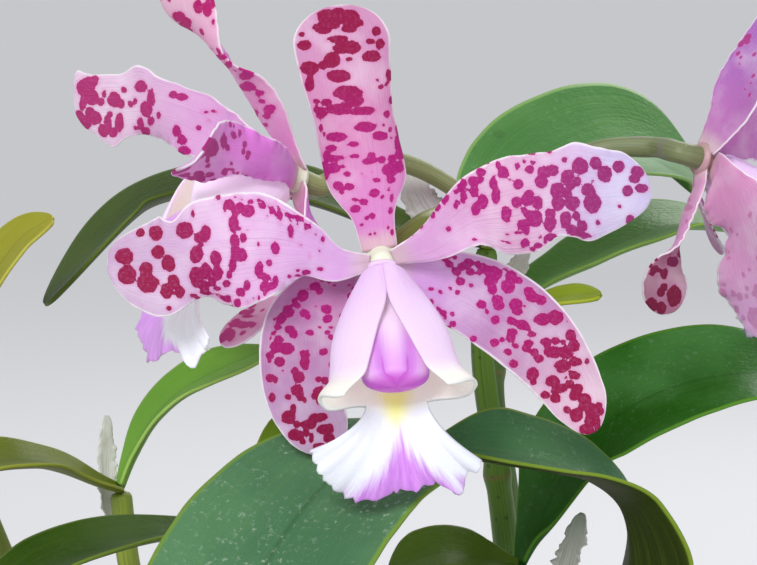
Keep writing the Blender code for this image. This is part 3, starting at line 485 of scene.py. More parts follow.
def from_middle_of(tree, across):
    """How far a point lies from its piece's middle line: 0 on it, 1 at either edge."""
    return maths(tree, "ABSOLUTE", minus(tree, times(tree, across, 2), 1))


def stripes(tree, across, count, far):
    """A point's place in a space that is many times wider than long, where a grain runs lengthwise."""
    return add_node(tree, "ShaderNodeCombineXYZ", {0: times(tree, across, count), 1: far}).outputs[0]


def root_finish():
    made, tree, shader = new_finish("chalky_root", 0.75)
    where = place_of(tree)
    _, far = own_map(tree)
    body = graded(tree, tone(206, 202, 188), tone(168, 166, 146), grain(tree, where, 160, 4), 0.35, 0.7)
    body = graded(tree, body, tone(132, 142, 96), grain(tree, where, 60, 3), 0.58, 0.72, 0.5)
    body = graded(tree, body, tone(118, 150, 58), far, 0.93, 0.97)
    colour_from(tree, shader, body)
    bumps(tree, shader, grain(tree, where, 900, 4), 0.0003, 0.6)
    return made


def stem_finish():
    made, tree, shader = new_finish("creeping_stem", 0.6)
    where = place_of(tree)
    body = graded(tree, tone(118, 112, 62), tone(86, 74, 44), grain(tree, where, 120, 4), 0.35, 0.7)
    body = graded(tree, body, tone(176, 164, 132), grain(tree, where, 500, 4), 0.55, 0.75, 0.6)
    colour_from(tree, shader, body)
    bumps(tree, shader, grain(tree, where, 700, 4), 0.0004, 0.7)
    return made


level = BARK_TOP + RHIZOME_RADIUS + RHIZOME_LIFT
stem_parts = []
for order in RHIZOME_LINES:
    nodes_along = [foot_of[name] + Vector((0, 0, level)) for name in order]

    def stem_radius(t, _):
        rings = 3 * (len(nodes_along) - 1)
        return RHIZOME_RADIUS - 0.45 + 0.5 * abs(math.sin(math.pi * rings * t)) ** 0.4

    stem_parts.append(rolled("stem", nodes_along, stem_radius, 24, 90))
creeping_stem = joined("creeping_stem", stem_parts)
creeping_stem.data.materials.append(stem_finish())
stands_for(creeping_stem, "root", "rhizome_and_roots")

root_level = BARK_TOP + ROOT_RADIUS + RHIZOME_LIFT
rim_out = POT_TOP_RADIUS + RIM_PROUD + ROOT_RADIUS + CLEARANCE
over = POT_HEIGHT + ROOT_RADIUS + CLEARANCE
root_parts = []
for root_cane, angle, drop in ROOTS:
    way = toward(angle)
    start = foot_of[root_cane] + Vector((0, 0, level))
    inner = way * (POT_TOP_RADIUS - POT_WALL - 8)
    path = [
        start,
        Vector((start.x * 0.5 + inner.x * 0.5, start.y * 0.5 + inner.y * 0.5, root_level + 1.5)),
        Vector((inner.x, inner.y, root_level + 1.5)),
        way * (POT_TOP_RADIUS - POT_WALL - 3) + Vector((0, 0, over)),
        way * (POT_TOP_RADIUS - 1) + Vector((0, 0, over + 1)),
        way * (rim_out - 0.6) + Vector((0, 0, over - 1.5)),
        way * (rim_out + 0.8) + Vector((0, 0, over - 8)),
        way * (rim_out + 0.4) + Vector((0, 0, over - 8 - drop)),
    ]

    def root_radius(t, _):
        return ROOT_RADIUS * tip_rounding(t, 0.93) * (1 + 0.07 * noise.noise(Vector((t * 14, angle, 0))))

    root_parts.append(rolled("root", path, root_radius, 16, 80))
roots = joined("hanging_roots", root_parts)
roots.data.materials.append(root_finish())
stands_for(roots, "root", "rhizome_and_roots")

# The canes
# Slim green shoots, a little thicker below their middle, with a raised ring at each joint. Each stands on the
# creeping stem and ends where its leaves spring.

CANE_RADII = evenly([2.3, 3.1, 2.8, 2.3, 2.1])
CANE_JOINTS = 4
JOINT_PROUD = 0.45
JOINT_SHARE = 3 / 13


def cane_finish(name, green, shade, flecks):
    """Smooth green skin, streaked along the cane, with dark flecks and a brown line at each joint."""
    made, tree, shader = new_finish(name, 0.42)
    where = place_of(tree)
    around, far = own_map(tree)
    streak = stripes(tree, around, 22, far)
    body = graded(tree, green, shade, grain(tree, streak, 3, 3), 0.35, 0.7)
    body = graded(tree, body, shade, grain(tree, where, 45, 3), 0.4, 0.75, 0.5)
    fleck = add_node(tree, "ShaderNodeTexVoronoi", {"Vector": where, "Scale": 420}).outputs["Distance"]
    body = graded(tree, body, tone(44, 52, 14), fleck, 0.24, 0.1, flecks)
    to_joint = maths(tree, "PINGPONG", plus(tree, far, JOINT_SHARE / 2), JOINT_SHARE / 2)
    ring = minus(tree, JOINT_SHARE / 2, to_joint)
    body = graded(tree, body, tone(120, 104, 56), ring, 0.006, 0.001, 0.55)
    colour_from(tree, shader, body)
    bumps(tree, shader, grain(tree, streak, 6, 3), 0.0003, 0.5)
    return made


def cane_radius(t, _):
    from_joint = min(abs(t - k * JOINT_SHARE) for k in range(1, CANE_JOINTS + 1))
    ring = JOINT_PROUD * math.exp(-((from_joint / 0.012) ** 2))
    return (along(CANE_RADII, t) + ring) * max(tip_rounding(t, 0.985), 0.3)


CANE_GREENS = {
    "cane_flowering": (tone(98, 138, 20), tone(62, 104, 12), 0.6),
    "cane_front": (tone(112, 140, 40), tone(82, 116, 28), 0.3),
    "cane_right": (tone(96, 122, 44), tone(70, 98, 30), 0.5),
    "cane_back": (tone(86, 120, 36), tone(60, 92, 24), 0.3),
    "cane_left": (tone(140, 158, 48), tone(104, 128, 36), 0.2),
    "cane_left_front": (tone(104, 130, 44), tone(78, 104, 30), 0.3),
    "cane_far_left": (tone(126, 142, 46), tone(96, 116, 34), 0.2),
}
for name, waypoints in CANES.items():
    foot = Vector((waypoints[0][0], waypoints[0][1], BARK_TOP + 2 * RHIZOME_RADIUS + RHIZOME_LIFT - 0.8))
    cane = rolled(name + "_skin", [foot] + waypoints[1:], cane_radius, 24, 150)
    green, shade, flecks = CANE_GREENS[name]
    cane.data.materials.append(cane_finish(name + "_green", green, shade, flecks))
    stands_for(cane, "cane", name)

# The leaves
# Thick leathery blades that spring in pairs from the canes' tops. Each is folded along its midrib, has fine
# veins from end to end and a thin pale margin, and is duller and paler below.

LEAF_THICKNESS = 1.2
LEAF_BASE_HALF = 1.4
LEAF_SHAPE = (0.0, 0.24, 0.56, 0.84, 0.98, 0.98, 0.84, 0.56)
BLUNT_SHAPE = (0, 0.24, 0.56, 0.84, 1, 1.04, 1, 0.9)
# Leaves that are broad from their foot on, and one that is blunt: the shapes of their left and right halves
OWN_SHAPES = {
    "leaf_front": ((0, 0.88, 0.98, 1, 1, 1, 0.86, 0.58), (0, 0.42, 0.74, 0.93, 1, 1, 0.86, 0.58)),
    "leaf_front_right": (
        (0, 0.5, 0.58, 0.62, 0.7, 0.8, 0.8, 0.56), (0, 0.5, 0.66, 0.76, 0.84, 0.88, 0.8, 0.56),
    ),
    "leaf_right": ((0, 0.34, 0.78, 0.96, 1, 1, 0.86, 0.58), (0, 0.5, 0.84, 0.97, 1, 1, 0.86, 0.58)),
    "leaf_back_right": ((0, 0.55, 0.85, 0.98, 1, 0.98, 0.84, 0.56), LEAF_SHAPE),
    "leaf_back_left": (BLUNT_SHAPE, BLUNT_SHAPE),
}

# Each leaf: its cane, its midline beyond the cane's top, the ways its upper side looks, its width and how far
# its two halves fold up, in degrees
LEAVES = {
    "leaf_back_right": (
        "cane_flowering",
        [(27, 17, 235), (37, 30, 244), (52, 42, 247), (67, 52, 241)],
        [(-0.6, -0.7, 0.3), (-0.3, -0.65, 0.7), (0.1, -0.6, 0.8)],
        37, 8,
    ),
    "leaf_back_left": (
        "cane_flowering",
        [(4, 14, 233), (-9, 21, 237), (-22, 28, 240), (-36, 33, 239), (-48, 34, 235), (-66, 26, 217)],
        [(0, -0.4, 0.9), (0, -0.1, 1), (-0.3, -0.1, 0.95), (-0.75, -0.2, 0.6)],
        26, 8,
    ),
    "leaf_rear_right": (
        "cane_back",
        [(31, 33, 219.5), (41, 37, 224), (50, 40, 228), (60, 45, 231), (81, 52, 229)],
        [(0, -0.1, 1), (0, -0.12, 1), (0, -0.12, 1)],
        26, 8,
    ),
    "leaf_small": (
        "cane_back",
        [(29, 19, 216.5), (36, 15, 219.5), (43, 11, 220.5)],
        [(0, -0.5, 0.9), (0, -0.4, 0.9), (0, -0.4, 0.9)],
        8, 8,
    ),
    "leaf_right": (
        "cane_right",
        [
            (30, 1, 175), (34, 4, 183), (40, 9, 191), (49, 13, 198), (61, 16, 202.5), (74, 18, 204),
            (90, 18, 201),
        ],
        [(-0.8, -0.6, 0.2), (-0.6, -0.65, 0.4), (-0.3, -0.5, 0.75), (0, -0.22, 0.97)],
        27, 10,
    ),
    "leaf_low_back": (
        "cane_right",
        [(20, -2, 171.0), (12, -1, 172.0), (2, -2, 168.6)],
        [(0, -0.4, 0.9), (0, -0.3, 0.9), (-0.2, -0.3, 0.9)],
        16, 8,
    ),
    "leaf_low_front": (
        "cane_right",
        [(21.6, -11.6, 167.4), (14, -18, 165.5), (4, -18, 160)],
        [(0, -0.1, 1), (0, -0.1, 1), (-0.2, -0.1, 1)],
        14, 8,
    ),
    "leaf_front": (
        "cane_front",
        [(3, -32, 199), (-6, -42, 195.5), (-15, -52, 187), (-22, -60, 176), (-27, -66, 162), (-30, -70, 148)],
        [(0, -0.5, 0.87), (0, -0.5, 0.87), (-0.1, -0.8, 0.6)],
        37, 3,
    ),
    "leaf_front_right": (
        "cane_front",
        [
            (22, -27, 195.4), (31, -25, 193.4), (39, -23, 190.4), (45, -21, 185), (47.2, -21, 176.4),
            (46.8, -22, 167), (45, -24, 154),
        ],
        [(0, -0.45, 0.9), (0, -0.4, 0.92), (0.35, -0.05, 0.9), (0.8, 0.4, 0.3), (0.8, 0.45, 0.1)],
        31, 16,
    ),
    "leaf_left": (
        "cane_left",
        [(-54, 4, 185), (-61, 0, 188.5), (-68, -5, 190.5), (-77, -9, 189.5), (-92, -15, 180)],
        [(0.3, -0.2, 0.9), (0, -0.12, 1), (-0.3, -0.12, 0.9)],
        22, 6,
    ),
    "leaf_left_upright": (
        "cane_left",
        [(-47.6, 11, 189), (-43.6, 14, 196), (-36.6, 17, 202), (-21, 20, 209)],
        [(-0.9, -0.3, 0.2), (-0.7, -0.3, 0.6), (-0.3, -0.3, 0.9)],
        17, 8,
    ),
    "leaf_low_left": (
        "cane_left_front",
        [(-31, -12, 178), (-42, -20, 179), (-52, -27, 178), (-61, -32, 175), (-78, -40, 163)],
        [(0, -0.15, 1), (-0.1, -0.1, 1), (-0.3, -0.1, 0.9)],
        24, 6,
    ),
    "leaf_middle": (
        "cane_left_front",
        [(-20, -6.4, 183), (-17, -2, 192), (-12, 3, 200)],
        [(-0.3, -0.9, 0.3), (-0.3, -0.9, 0.3), (0, -0.8, 0.6)],
        12, 8,
    ),
    "leaf_far_left": (
        "cane_far_left",
        [(-80, 9.5, 212), (-74, 8, 224), (-68, 6, 232), (-62, 4, 236)],
        [(-0.7, -0.5, 0.3), (-0.6, -0.45, 0.6), (-0.3, -0.5, 0.8)],
        15, 8,
    ),
    "leaf_far_left_low": (
        "cane_far_left",
        [(-94, 17, 203), (-106, 20, 199), (-118, 22, 186)],
        [(0, -0.3, 0.9), (-0.2, -0.3, 0.9), (-0.6, -0.3, 0.6)],
        24, 8,
    ),
}
EDGE_LEAST = 0.35


def blade_point(blade):
    """The function that gives a point of a petal's or leaf's middle surface.

    blade has: spine, its midline's points; face, the directions its upper side looks in; left and right, its
    half widths; and, where wanted, curl and keel, its cross-section's bend and fold in degrees, groove, how
    wide that fold is rounded, ripple, its edge's waves by height, count and start, frill, the height of the
    small waves on them, ragged, how uneven its edge is, and rounded, where its tip begins to round off.
    """
    spine = by_length([Vector(p) for p in blade["spine"]])
    face_way = evenly([Vector(f) for f in blade["face"]])
    left = evenly(blade["left"])
    right = evenly(blade.get("right", blade["left"]))
    curl = evenly(blade.get("curl", (0.0, 0.0)))
    keel = evenly(blade.get("keel", (0.0, 0.0)))
    ripple, waves, phase = blade.get("ripple", (0.0, 1.0, 0.0))
    frill = blade.get("frill", 0.0)
    ragged = blade.get("ragged", 0.0)
    groove = blade.get("groove", 0.0)
    seed = blade.get("seed", 0.0)

    @lru_cache(maxsize=None)
    def section(share):
        # The rows lie closer together towards the tip, where the outline turns fastest.
        t = 1 - (1 - share) ** 1.35
        centre = along(spine, t)
        ahead = heading(spine, t)
        face = along(face_way, t)
        face = (face - face.dot(ahead) * ahead).normalized()
        rounding = tip_rounding(t, blade.get("rounded", 0.8))
        halves = (along(left, t) * rounding + EDGE_LEAST, along(right, t) * rounding + EDGE_LEAST)
        return t, centre, face, ahead.cross(face), halves, along(curl, t), along(keel, t)

    def point(s, share):
        t, centre, face, side, halves, curled, folded = section(share)
        uneven = noise.noise(Vector((t * 13, math.copysign(2, s), seed)))
        half = halves[0 if s < 0 else 1] * (1 + ragged * uneven)
        bend = math.radians(curled)
        lateral, lift = half * s, 0.0
        if abs(bend) > 0.02:
            lateral = half / bend * math.sin(bend * s)
            lift = half / bend * (1 - math.cos(bend * s))
        fold = math.radians(folded)
        lift += (math.hypot(lateral, groove) - groove) * math.sin(fold)
        lateral *= math.cos(fold)
        envelope = math.sqrt(math.sin(math.pi * min(1.0, t * 1.05)))
        turn = 2 * math.pi * waves * t + phase + (2.1 if s > 0 else 0.0)
        small = noise.noise(Vector((t * 30, math.copysign(5, s), seed)))
        lift += ripple * s * s * envelope * math.sin(turn)
        lift += frill * abs(s) ** 5 * envelope * small
        return centre + side * lateral + face * lift

    return point


def thickened(piece, thickness, edge, front, back):
    """Gives a sheet its thickness, with one finish on its face and another on its back.

    edge is which share of the thickness is left at the margin.
    """
    body = piece.vertex_groups.new(name="body")
    across = {}
    layer = piece.data.uv_layers.active.data
    for loop in piece.data.loops:
        across[loop.vertex_index] = layer[loop.index].uv
    for index, place in across.items():
        reach = max(abs(2 * place.x - 1), 1 - (1 - place.y) * 6)
        body.add([index], 1 - max(0.0, reach) ** 6, "REPLACE")
    piece.data.materials.append(front)
    piece.data.materials.append(back)
    solid = piece.modifiers.new("thickness", "SOLIDIFY")
    solid.thickness = thickness * MM
    solid.offset = 0
    solid.vertex_group = "body"
    solid.thickness_vertex_group = edge
    solid.material_offset = 1
    bpy.ops.object.modifier_apply(modifier=solid.name)


def leaf_finish(name, body, patches, margin, dust, flecks, midrib=0.35, gloss=0.36):
    """A leaf's upper side: two greens, fine long veins, a midrib, dust, dark flecks and a pale margin."""
    made, tree, shader = new_finish(name, gloss)
    shader.inputs["Specular IOR Level"].default_value = 0.13
    where = place_of(tree)
    across, far = own_map(tree)
    from_rib = from_middle_of(tree, across)
    colour = graded(tree, body, patches, grain(tree, where, 38, 4), 0.36, 0.66)
    veins = stripes(tree, across, 34, far)
    vein = grain(tree, veins, 2.4, 3)
    colour = graded(tree, colour, margin, vein, 0.4, 0.8, 0.14)
    colour = graded(tree, colour, tone(36, 70, 24), from_rib, 0.045, 0.0, midrib)
    cloud = fade(tree, grain(tree, where, 70, 3), 0.3, 0.64)
    speck = fade(tree, grain(tree, where, 900, 4, 0.7), 0.54, 0.74)
    colour = blend(tree, times(tree, times(tree, cloud, speck), dust), colour, tone(186, 204, 186))
    spot = add_node(tree, "ShaderNodeTexVoronoi", {"Vector": where, "Scale": 95}).outputs["Distance"]
    few = fade(tree, grain(tree, where, 46, 2), 0.56, 0.62)
    dark = times(tree, fade(tree, spot, 0.16, 0.07), few)
    colour = blend(tree, times(tree, dark, flecks), colour, tone(34, 40, 22))
    colour = graded(tree, colour, margin, from_rib, 0.945, 0.985, 0.85)
    colour_from(tree, shader, colour)
    relief = plus(tree, times(tree, vein, 0.8), grain(tree, where, 900, 2))
    bumps(tree, shader, relief, 0.00025, 0.5)
    return made


# Each leaf's two greens and its margin's, and how much dust and how many dark flecks it has
GREEN_OF = {
    "leaf_back_right": (tone(72, 124, 62), tone(88, 138, 76), tone(140, 180, 100), 0.2, 0.2),
    "leaf_back_left": (tone(50, 72, 12), tone(62, 84, 18), tone(96, 118, 44), 0.05, 0.1),
    # Painted light: lighter greens to lift the shade this leaf lies in.
    "leaf_rear_right": (tone(106, 162, 72), tone(92, 148, 54), tone(140, 174, 84), 0.1, 0.2),
    "leaf_small": (tone(150, 168, 26), tone(134, 158, 30), tone(178, 192, 60), 0.0, 0.0),
    "leaf_right": (tone(36, 94, 16), tone(70, 126, 60), tone(92, 144, 44), 0.16, 0.9),
    # Painted light: lighter greens to lift the shade of the leaves above it.
    "leaf_low_back": (tone(88, 122, 28), tone(72, 102, 22), tone(116, 140, 50), 0.05, 0.8),
    "leaf_low_front": (tone(80, 118, 22), tone(64, 100, 16), tone(112, 142, 46), 0.05, 0.8),
    "leaf_front": (tone(68, 112, 78), tone(84, 128, 88), tone(120, 152, 54), 0.7, 0.5),
    "leaf_front_right": (tone(56, 108, 64), tone(74, 122, 78), tone(124, 148, 40), 0.5, 0.2),
    "leaf_left": (tone(102, 116, 18), tone(90, 106, 14), tone(150, 160, 60), 0.03, 0.1),
    "leaf_left_upright": (tone(104, 156, 52), tone(122, 168, 66), tone(160, 196, 100), 0.1, 0.0),
    "leaf_low_left": (tone(42, 72, 8), tone(54, 84, 14), tone(112, 136, 50), 0.05, 0.1),
    "leaf_middle": (tone(96, 132, 24), tone(110, 144, 30), tone(150, 172, 60), 0.05, 0.1),
    "leaf_far_left": (tone(166, 162, 48), tone(150, 150, 40), tone(192, 190, 84), 0.05, 0.1),
    "leaf_far_left_low": (tone(100, 126, 40), tone(86, 112, 34), tone(150, 166, 80), 0.1, 0.1),
}
# The undersides that are not just a paler upper side
UNDERSIDE_OF = {
    "leaf_front_right": (tone(42, 58, 6), tone(36, 50, 4)),
    "leaf_front": (tone(110, 126, 34), tone(96, 112, 26)),
    "leaf_back_left": (tone(60, 80, 20), tone(52, 72, 16)),
}
for name, (cane_name, midline, face, width, fold) in LEAVES.items():
    cane_top = Vector(CANES[cane_name][-1])
    left, right = OWN_SHAPES.get(name, (LEAF_SHAPE, LEAF_SHAPE))
    shape = {
        "spine": [cane_top + (Vector(midline[0]) - cane_top).normalized() * 0.6] + midline,
        "face": face,
        "left": [LEAF_BASE_HALF + (width / 2 - LEAF_BASE_HALF) * share for share in left],
        "right": [LEAF_BASE_HALF + (width / 2 - LEAF_BASE_HALF) * share for share in right],
        "curl": [16, 14, 12, 10, 6] if name == "leaf_front" else [50, 24, 14, 10, 6],
        "keel": [fold, fold, fold, fold, fold / 2],
        "rounded": 0.72,
        "ragged": 0.012,
        "groove": 0.8,
        "seed": len(name) + width,
    }
    leaf = shaped_grid(name + "_blade", 32, 96, blade_point(shape))
    body, patches, margin, dust, flecks = GREEN_OF[name]
    paler = tuple(0.7 * a + 0.12 * b for a, b in zip(body, margin))
    under, under_patches = UNDERSIDE_OF.get(name, (paler, patches))
    thickened(
        leaf, LEAF_THICKNESS, 0.45,
        leaf_finish(name + "_face", body, patches, margin, dust, flecks),
        leaf_finish(name + "_back", under, under_patches, margin, 0.0, 0.1, 0.15, 0.5),
    )
    stands_for(leaf, "leaf", name)

# The papery sheaths
# Dry skins that wrapped the young shoots and the flower bud. They have bleached to pale grey, torn at their
# ends and curled round what they stood on.

# Each sheath: its midline, the way its open side looks, half its width and its curl in degrees
SHEATHS = {
    "sheath_spathe": (
        [(17.8, 3.6, 232.2), (12, 3.4, 234.5), (7.8, 4.2, 239.5), (5, 5, 247)],
        [(0.2, -1, 0.2), (0.2, -1, 0.2), (0.2, -1, 0)],
        3.2, 40,
    ),
    "sheath_left": (
        [(-51, 10.8, 172), (-53, 11.6, 184), (-53, 12.4, 197)],
        [(0.6, -1, 0), (0.6, -1, 0)],
        1.7, 30,
    ),
    "sheath_right": (
        [(33.4, -2.9, 158), (36.4, -1.4, 169), (39, 0, 180)],
        [(-0.8, -0.6, 0), (-0.8, -0.6, 0.2)],
        3.4, 40,
    ),
    "sheath_back": (
        [(22.2, 26.4, 215), (23, 26, 219.5), (27, 25, 224), (29.3, 24, 229.5)],
        [(0, -1, 0), (0, -1, 0)],
        1.8, 30,
    ),
}


def paper_finish():
    made, tree, shader = new_finish("dry_sheath", 0.8)
    where = place_of(tree)
    across, far = own_map(tree)
    fibres = stripes(tree, across, 16, far)
    body = graded(tree, tone(244, 244, 240), tone(206, 206, 194), grain(tree, fibres, 3, 4), 0.35, 0.7)
    body = graded(tree, body, tone(168, 158, 128), grain(tree, where, 160, 4), 0.55, 0.72, 0.4)
    colour_from(tree, shader, body)
    bumps(tree, shader, grain(tree, fibres, 5, 4), 0.0002, 0.6)
    return made


dry_sheath = paper_finish()
for name, (midline, open_way, half, wrap) in SHEATHS.items():
    shape = {
        "spine": midline,
        "face": open_way,
        "left": [half * 0.6, half, half * 0.9, half * 0.5],
        "curl": [wrap, wrap, 0],
        "ragged": 0.3,
        "frill": 1.6,
        "seed": half,
    }
    sheath = shaped_grid(name + "_skin", 20, 48, blade_point(shape))
    thickened(sheath, 0.5, 0.5, dry_sheath, dry_sheath)
    stands_for(sheath, "paper", name)

# The flower stalks
# One short stem rises from the flowering cane's top and forks into a stalk for each bloom. A stalk thickens
# into the ridged seed vessel that the bloom sits on.

STALK_RADIUS = 1.5
OVARY_RADIUS = 2.2
RECEPTACLE_DEPTH = 3.4
STALK_JOINT = (21, 4, 236)
# Each bloom's stalk, and where the bloom is and the way it faces, as the viewer sees it
STALK_PATHS = {
    "front_bloom": [STALK_JOINT, (16, -12, 239), (8, -30, 238)],
    "left_bloom": [STALK_JOINT, (13, 0, 243), (4, -4, 247.4), (-4, -8, 247)],
    "right_bloom": [STALK_JOINT, (32, 3, 245), (42, 2, 249.4), (52, 0, 250)],
}
BLOOM_PLACES = {
    "front_bloom": ((0.6, -45, 232.6), (0, 0, 1)),
    "left_bloom": ((-16.9, -14, 245.4), (-0.86, 0.26, 0.44)),
    "right_bloom": ((62.3, -4, 247.6), (0.82, -0.25, -0.48)),
}


def seen(x, y, z):
    """A place or direction given as the viewer sees it, in the plant's own axes."""
    return Vector((x, -z, y))


def step(value, start, end):
    """Runs smoothly from 0 to 1 while value runs from start to end."""
    share = min(1.0, max(0.0, (value - start) / (end - start)))
    return share * share * (3 - 2 * share)


def front_of(bloom_name):
    """The way a bloom faces, in the plant's own axes."""
    return seen(*BLOOM_PLACES[bloom_name][1]).normalized()


def stalk_finish(name, green, shade, blush):
    made, tree, shader = new_finish(name, 0.45)
    where = place_of(tree)
    around, far = own_map(tree)
    streak = stripes(tree, around, 14, far)
    body = graded(tree, green, shade, grain(tree, streak, 2.4, 3), 0.35, 0.7)
    body = graded(tree, body, blush, grain(tree, where, 160, 4), 0.5, 0.75, 0.6)
    body = graded(tree, body, tone(226, 224, 196), grain(tree, where, 900, 3), 0.66, 0.78, 0.3)
    colour_from(tree, shader, body)
    bumps(tree, shader, grain(tree, streak, 4, 3), 0.0002, 0.4)
    return made


STALK_GREENS = {
    "front_bloom": (tone(134, 142, 62), tone(110, 122, 46), tone(128, 112, 84)),
    "left_bloom": (tone(150, 158, 104), tone(128, 136, 84), tone(140, 122, 104)),
    "right_bloom": (tone(124, 134, 92), tone(104, 116, 74), tone(132, 112, 124)),
}
for bloom_name, path in STALK_PATHS.items():
    front = front_of(bloom_name)
    end = Vector(BLOOM_PLACES[bloom_name][0]) - front * (RECEPTACLE_DEPTH - 1)
    line = [Vector(p) for p in path] + [end - front * 5, end]

    def stalk_radius(t, _):
        return STALK_RADIUS + (OVARY_RADIUS - STALK_RADIUS) * t + 0.06 * step(t, 0.5, 0.7) * math.sin(40 * t)

    stalk = rolled(bloom_name + "_stalk", line, stalk_radius, 20, 90)
    parts = [stalk]
    if bloom_name == "front_bloom":
        foot = Vector(CANES["cane_flowering"][-1]) - Vector((0, 0, 1))
        fork = Vector(STALK_JOINT) + Vector((0, 0, 1.9))
        parts.append(rolled("stalk_foot", [foot, fork], lambda t, _: STALK_RADIUS + 0.5 * t, 20, 12))
    stalk = joined(bloom_name + "_stalk", parts)
    stalk.data.materials.append(stalk_finish(bloom_name + "_stalk_skin", *STALK_GREENS[bloom_name]))
    stands_for(stalk, "stalk", "flower_stalks")

# The petals and sepals
# Five waxy blades round each bloom, lilac-white at their ends and pink towards their foot, finely veined,
# with crimson spots that grow and run together towards the tips. Their waved margins are nearly white.

PETAL_THICKNESS = 0.8
SEPAL_LEVEL = -2.2
PETAL_LEVEL = -0.6
TEPAL_FOOT = 2.1
PHOTO_SIZE = (757, 565)
PHOTO_EYE = Vector((0.0, -592.0, 286.5))
PHOTO_PITCH = math.radians(6)
PHOTO_LENS = 149.0885
PHOTO_SENSOR = 36.0
PIXELS_PER_MM = 5.7

# Petals and sepals, in millimetres from each bloom's centre as the viewer in front of the plant sees them: x
# to the right, y up and z towards the viewer
FRONT_TEPALS = {
    "dorsal_sepal": {
        "spine": [(-1.9, 10, -3), (-3.3, 18, -4), (-5.3, 27.5, -5), (-6.8, 36.3, -5), (-7.6, 44.8, -4)],
        "face": [(0.05, 0.1, 1), (0, 0.1, 1)],
        "left": [2.8, 3.6, 7.2, 7.8, 7.4, 7.8, 8.2, 8.4],
        "curl": [0, -12, -48, -50, -28, -10, -6],
        "ripple": (0.3, 2.0, 0.0),
        "rounded": 0.84,
    },
    "left_petal": {
        "spine": [
            (-8, -0.2, 0.9), (-14.4, 2.0, 2.2), (-22.3, 1.9, 2.8), (-31.1, 1.1, 2), (-39, -0.3, 0.6),
            (-48.3, 0, -1.5),
        ],
        "face": [(0, 0, 1), (0, 0.05, 1)],
        "left": [1.0, 1.9, 2.9, 3.5, 5.0, 6.8, 8.4, 9.2, 8.4, 6.8, 7.0, 9.2, 8.6, 7.7, 7.0],
        "right": [1.0, 1.9, 3.0, 4.3, 6.2, 9.1, 10.2, 10.3, 10.0, 9.4, 6.9, 7.9, 7.3, 6.9, 6.4],
        "curl": [22, 14, -8, -14, -8, -4],
        "ripple": (1.3, 2.6, 0.6),
        "rounded": 0.78,
    },
    "right_petal": {
        "spine": [
            (8.4, 3.4, 1), (15.4, 8.8, 2.6), (23.3, 11, 2.8), (31.2, 12.1, 1.6), (39.1, 11.9, 0.4),
            (47.2, 12.2, -1.6),
        ],
        "face": [(0, 0, 1), (0, 0.05, 1)],
        "left": [1.0, 1.9, 2.8, 3.5, 4.4, 5.9, 7.2, 7.4, 7.2, 7.2, 8.8, 7.9, 7.8, 8.0, 7.6],
        "right": [1.0, 1.9, 2.9, 3.9, 5.0, 6.8, 8.6, 9.3, 9.0, 7.0, 7.4, 7.9, 6.4, 5.6, 5.4],
        "curl": [22, 12, -8, -16, -10, -4],
        "ripple": (1.3, 2.4, 2.2),
    },
    "left_sepal": {
        "spine": [
            (-9.3, -6, -3.6), (-13.9, -11.4, -4), (-14.7, -18.1, -3), (-13.4, -25.4, -2), (-8.4, -34, -3),
        ],
        "face": [(-0.1, 0.1, 1), (0, 0.1, 1)],
        "left": [2.0, 4.4, 6.0, 6.6, 6.5, 5.7, 4.6],
        "curl": [10, 16, 18, 14, 8],
        "ripple": (0.3, 1.6, 1.0),
        "rounded": 0.84,
    },
    "right_sepal": {
        "spine": [
            (11.9, -4.4, -3.6), (20.7, -8.8, -4.6), (28.6, -15.8, -5.4), (34.4, -24.2, -5.6), (37.6, -31, -5),
        ],
        "face": [(0.05, 0.1, 1), (0.1, 0.1, 1)],
        "left": [2.0, 5.4, 7.0, 7.3, 6.6, 5.2, 3.6],
        "curl": [10, 12, 14, 12, 8],
        "ripple": (0.4, 1.5, 0.4),
        "rounded": 0.86,
    },
}
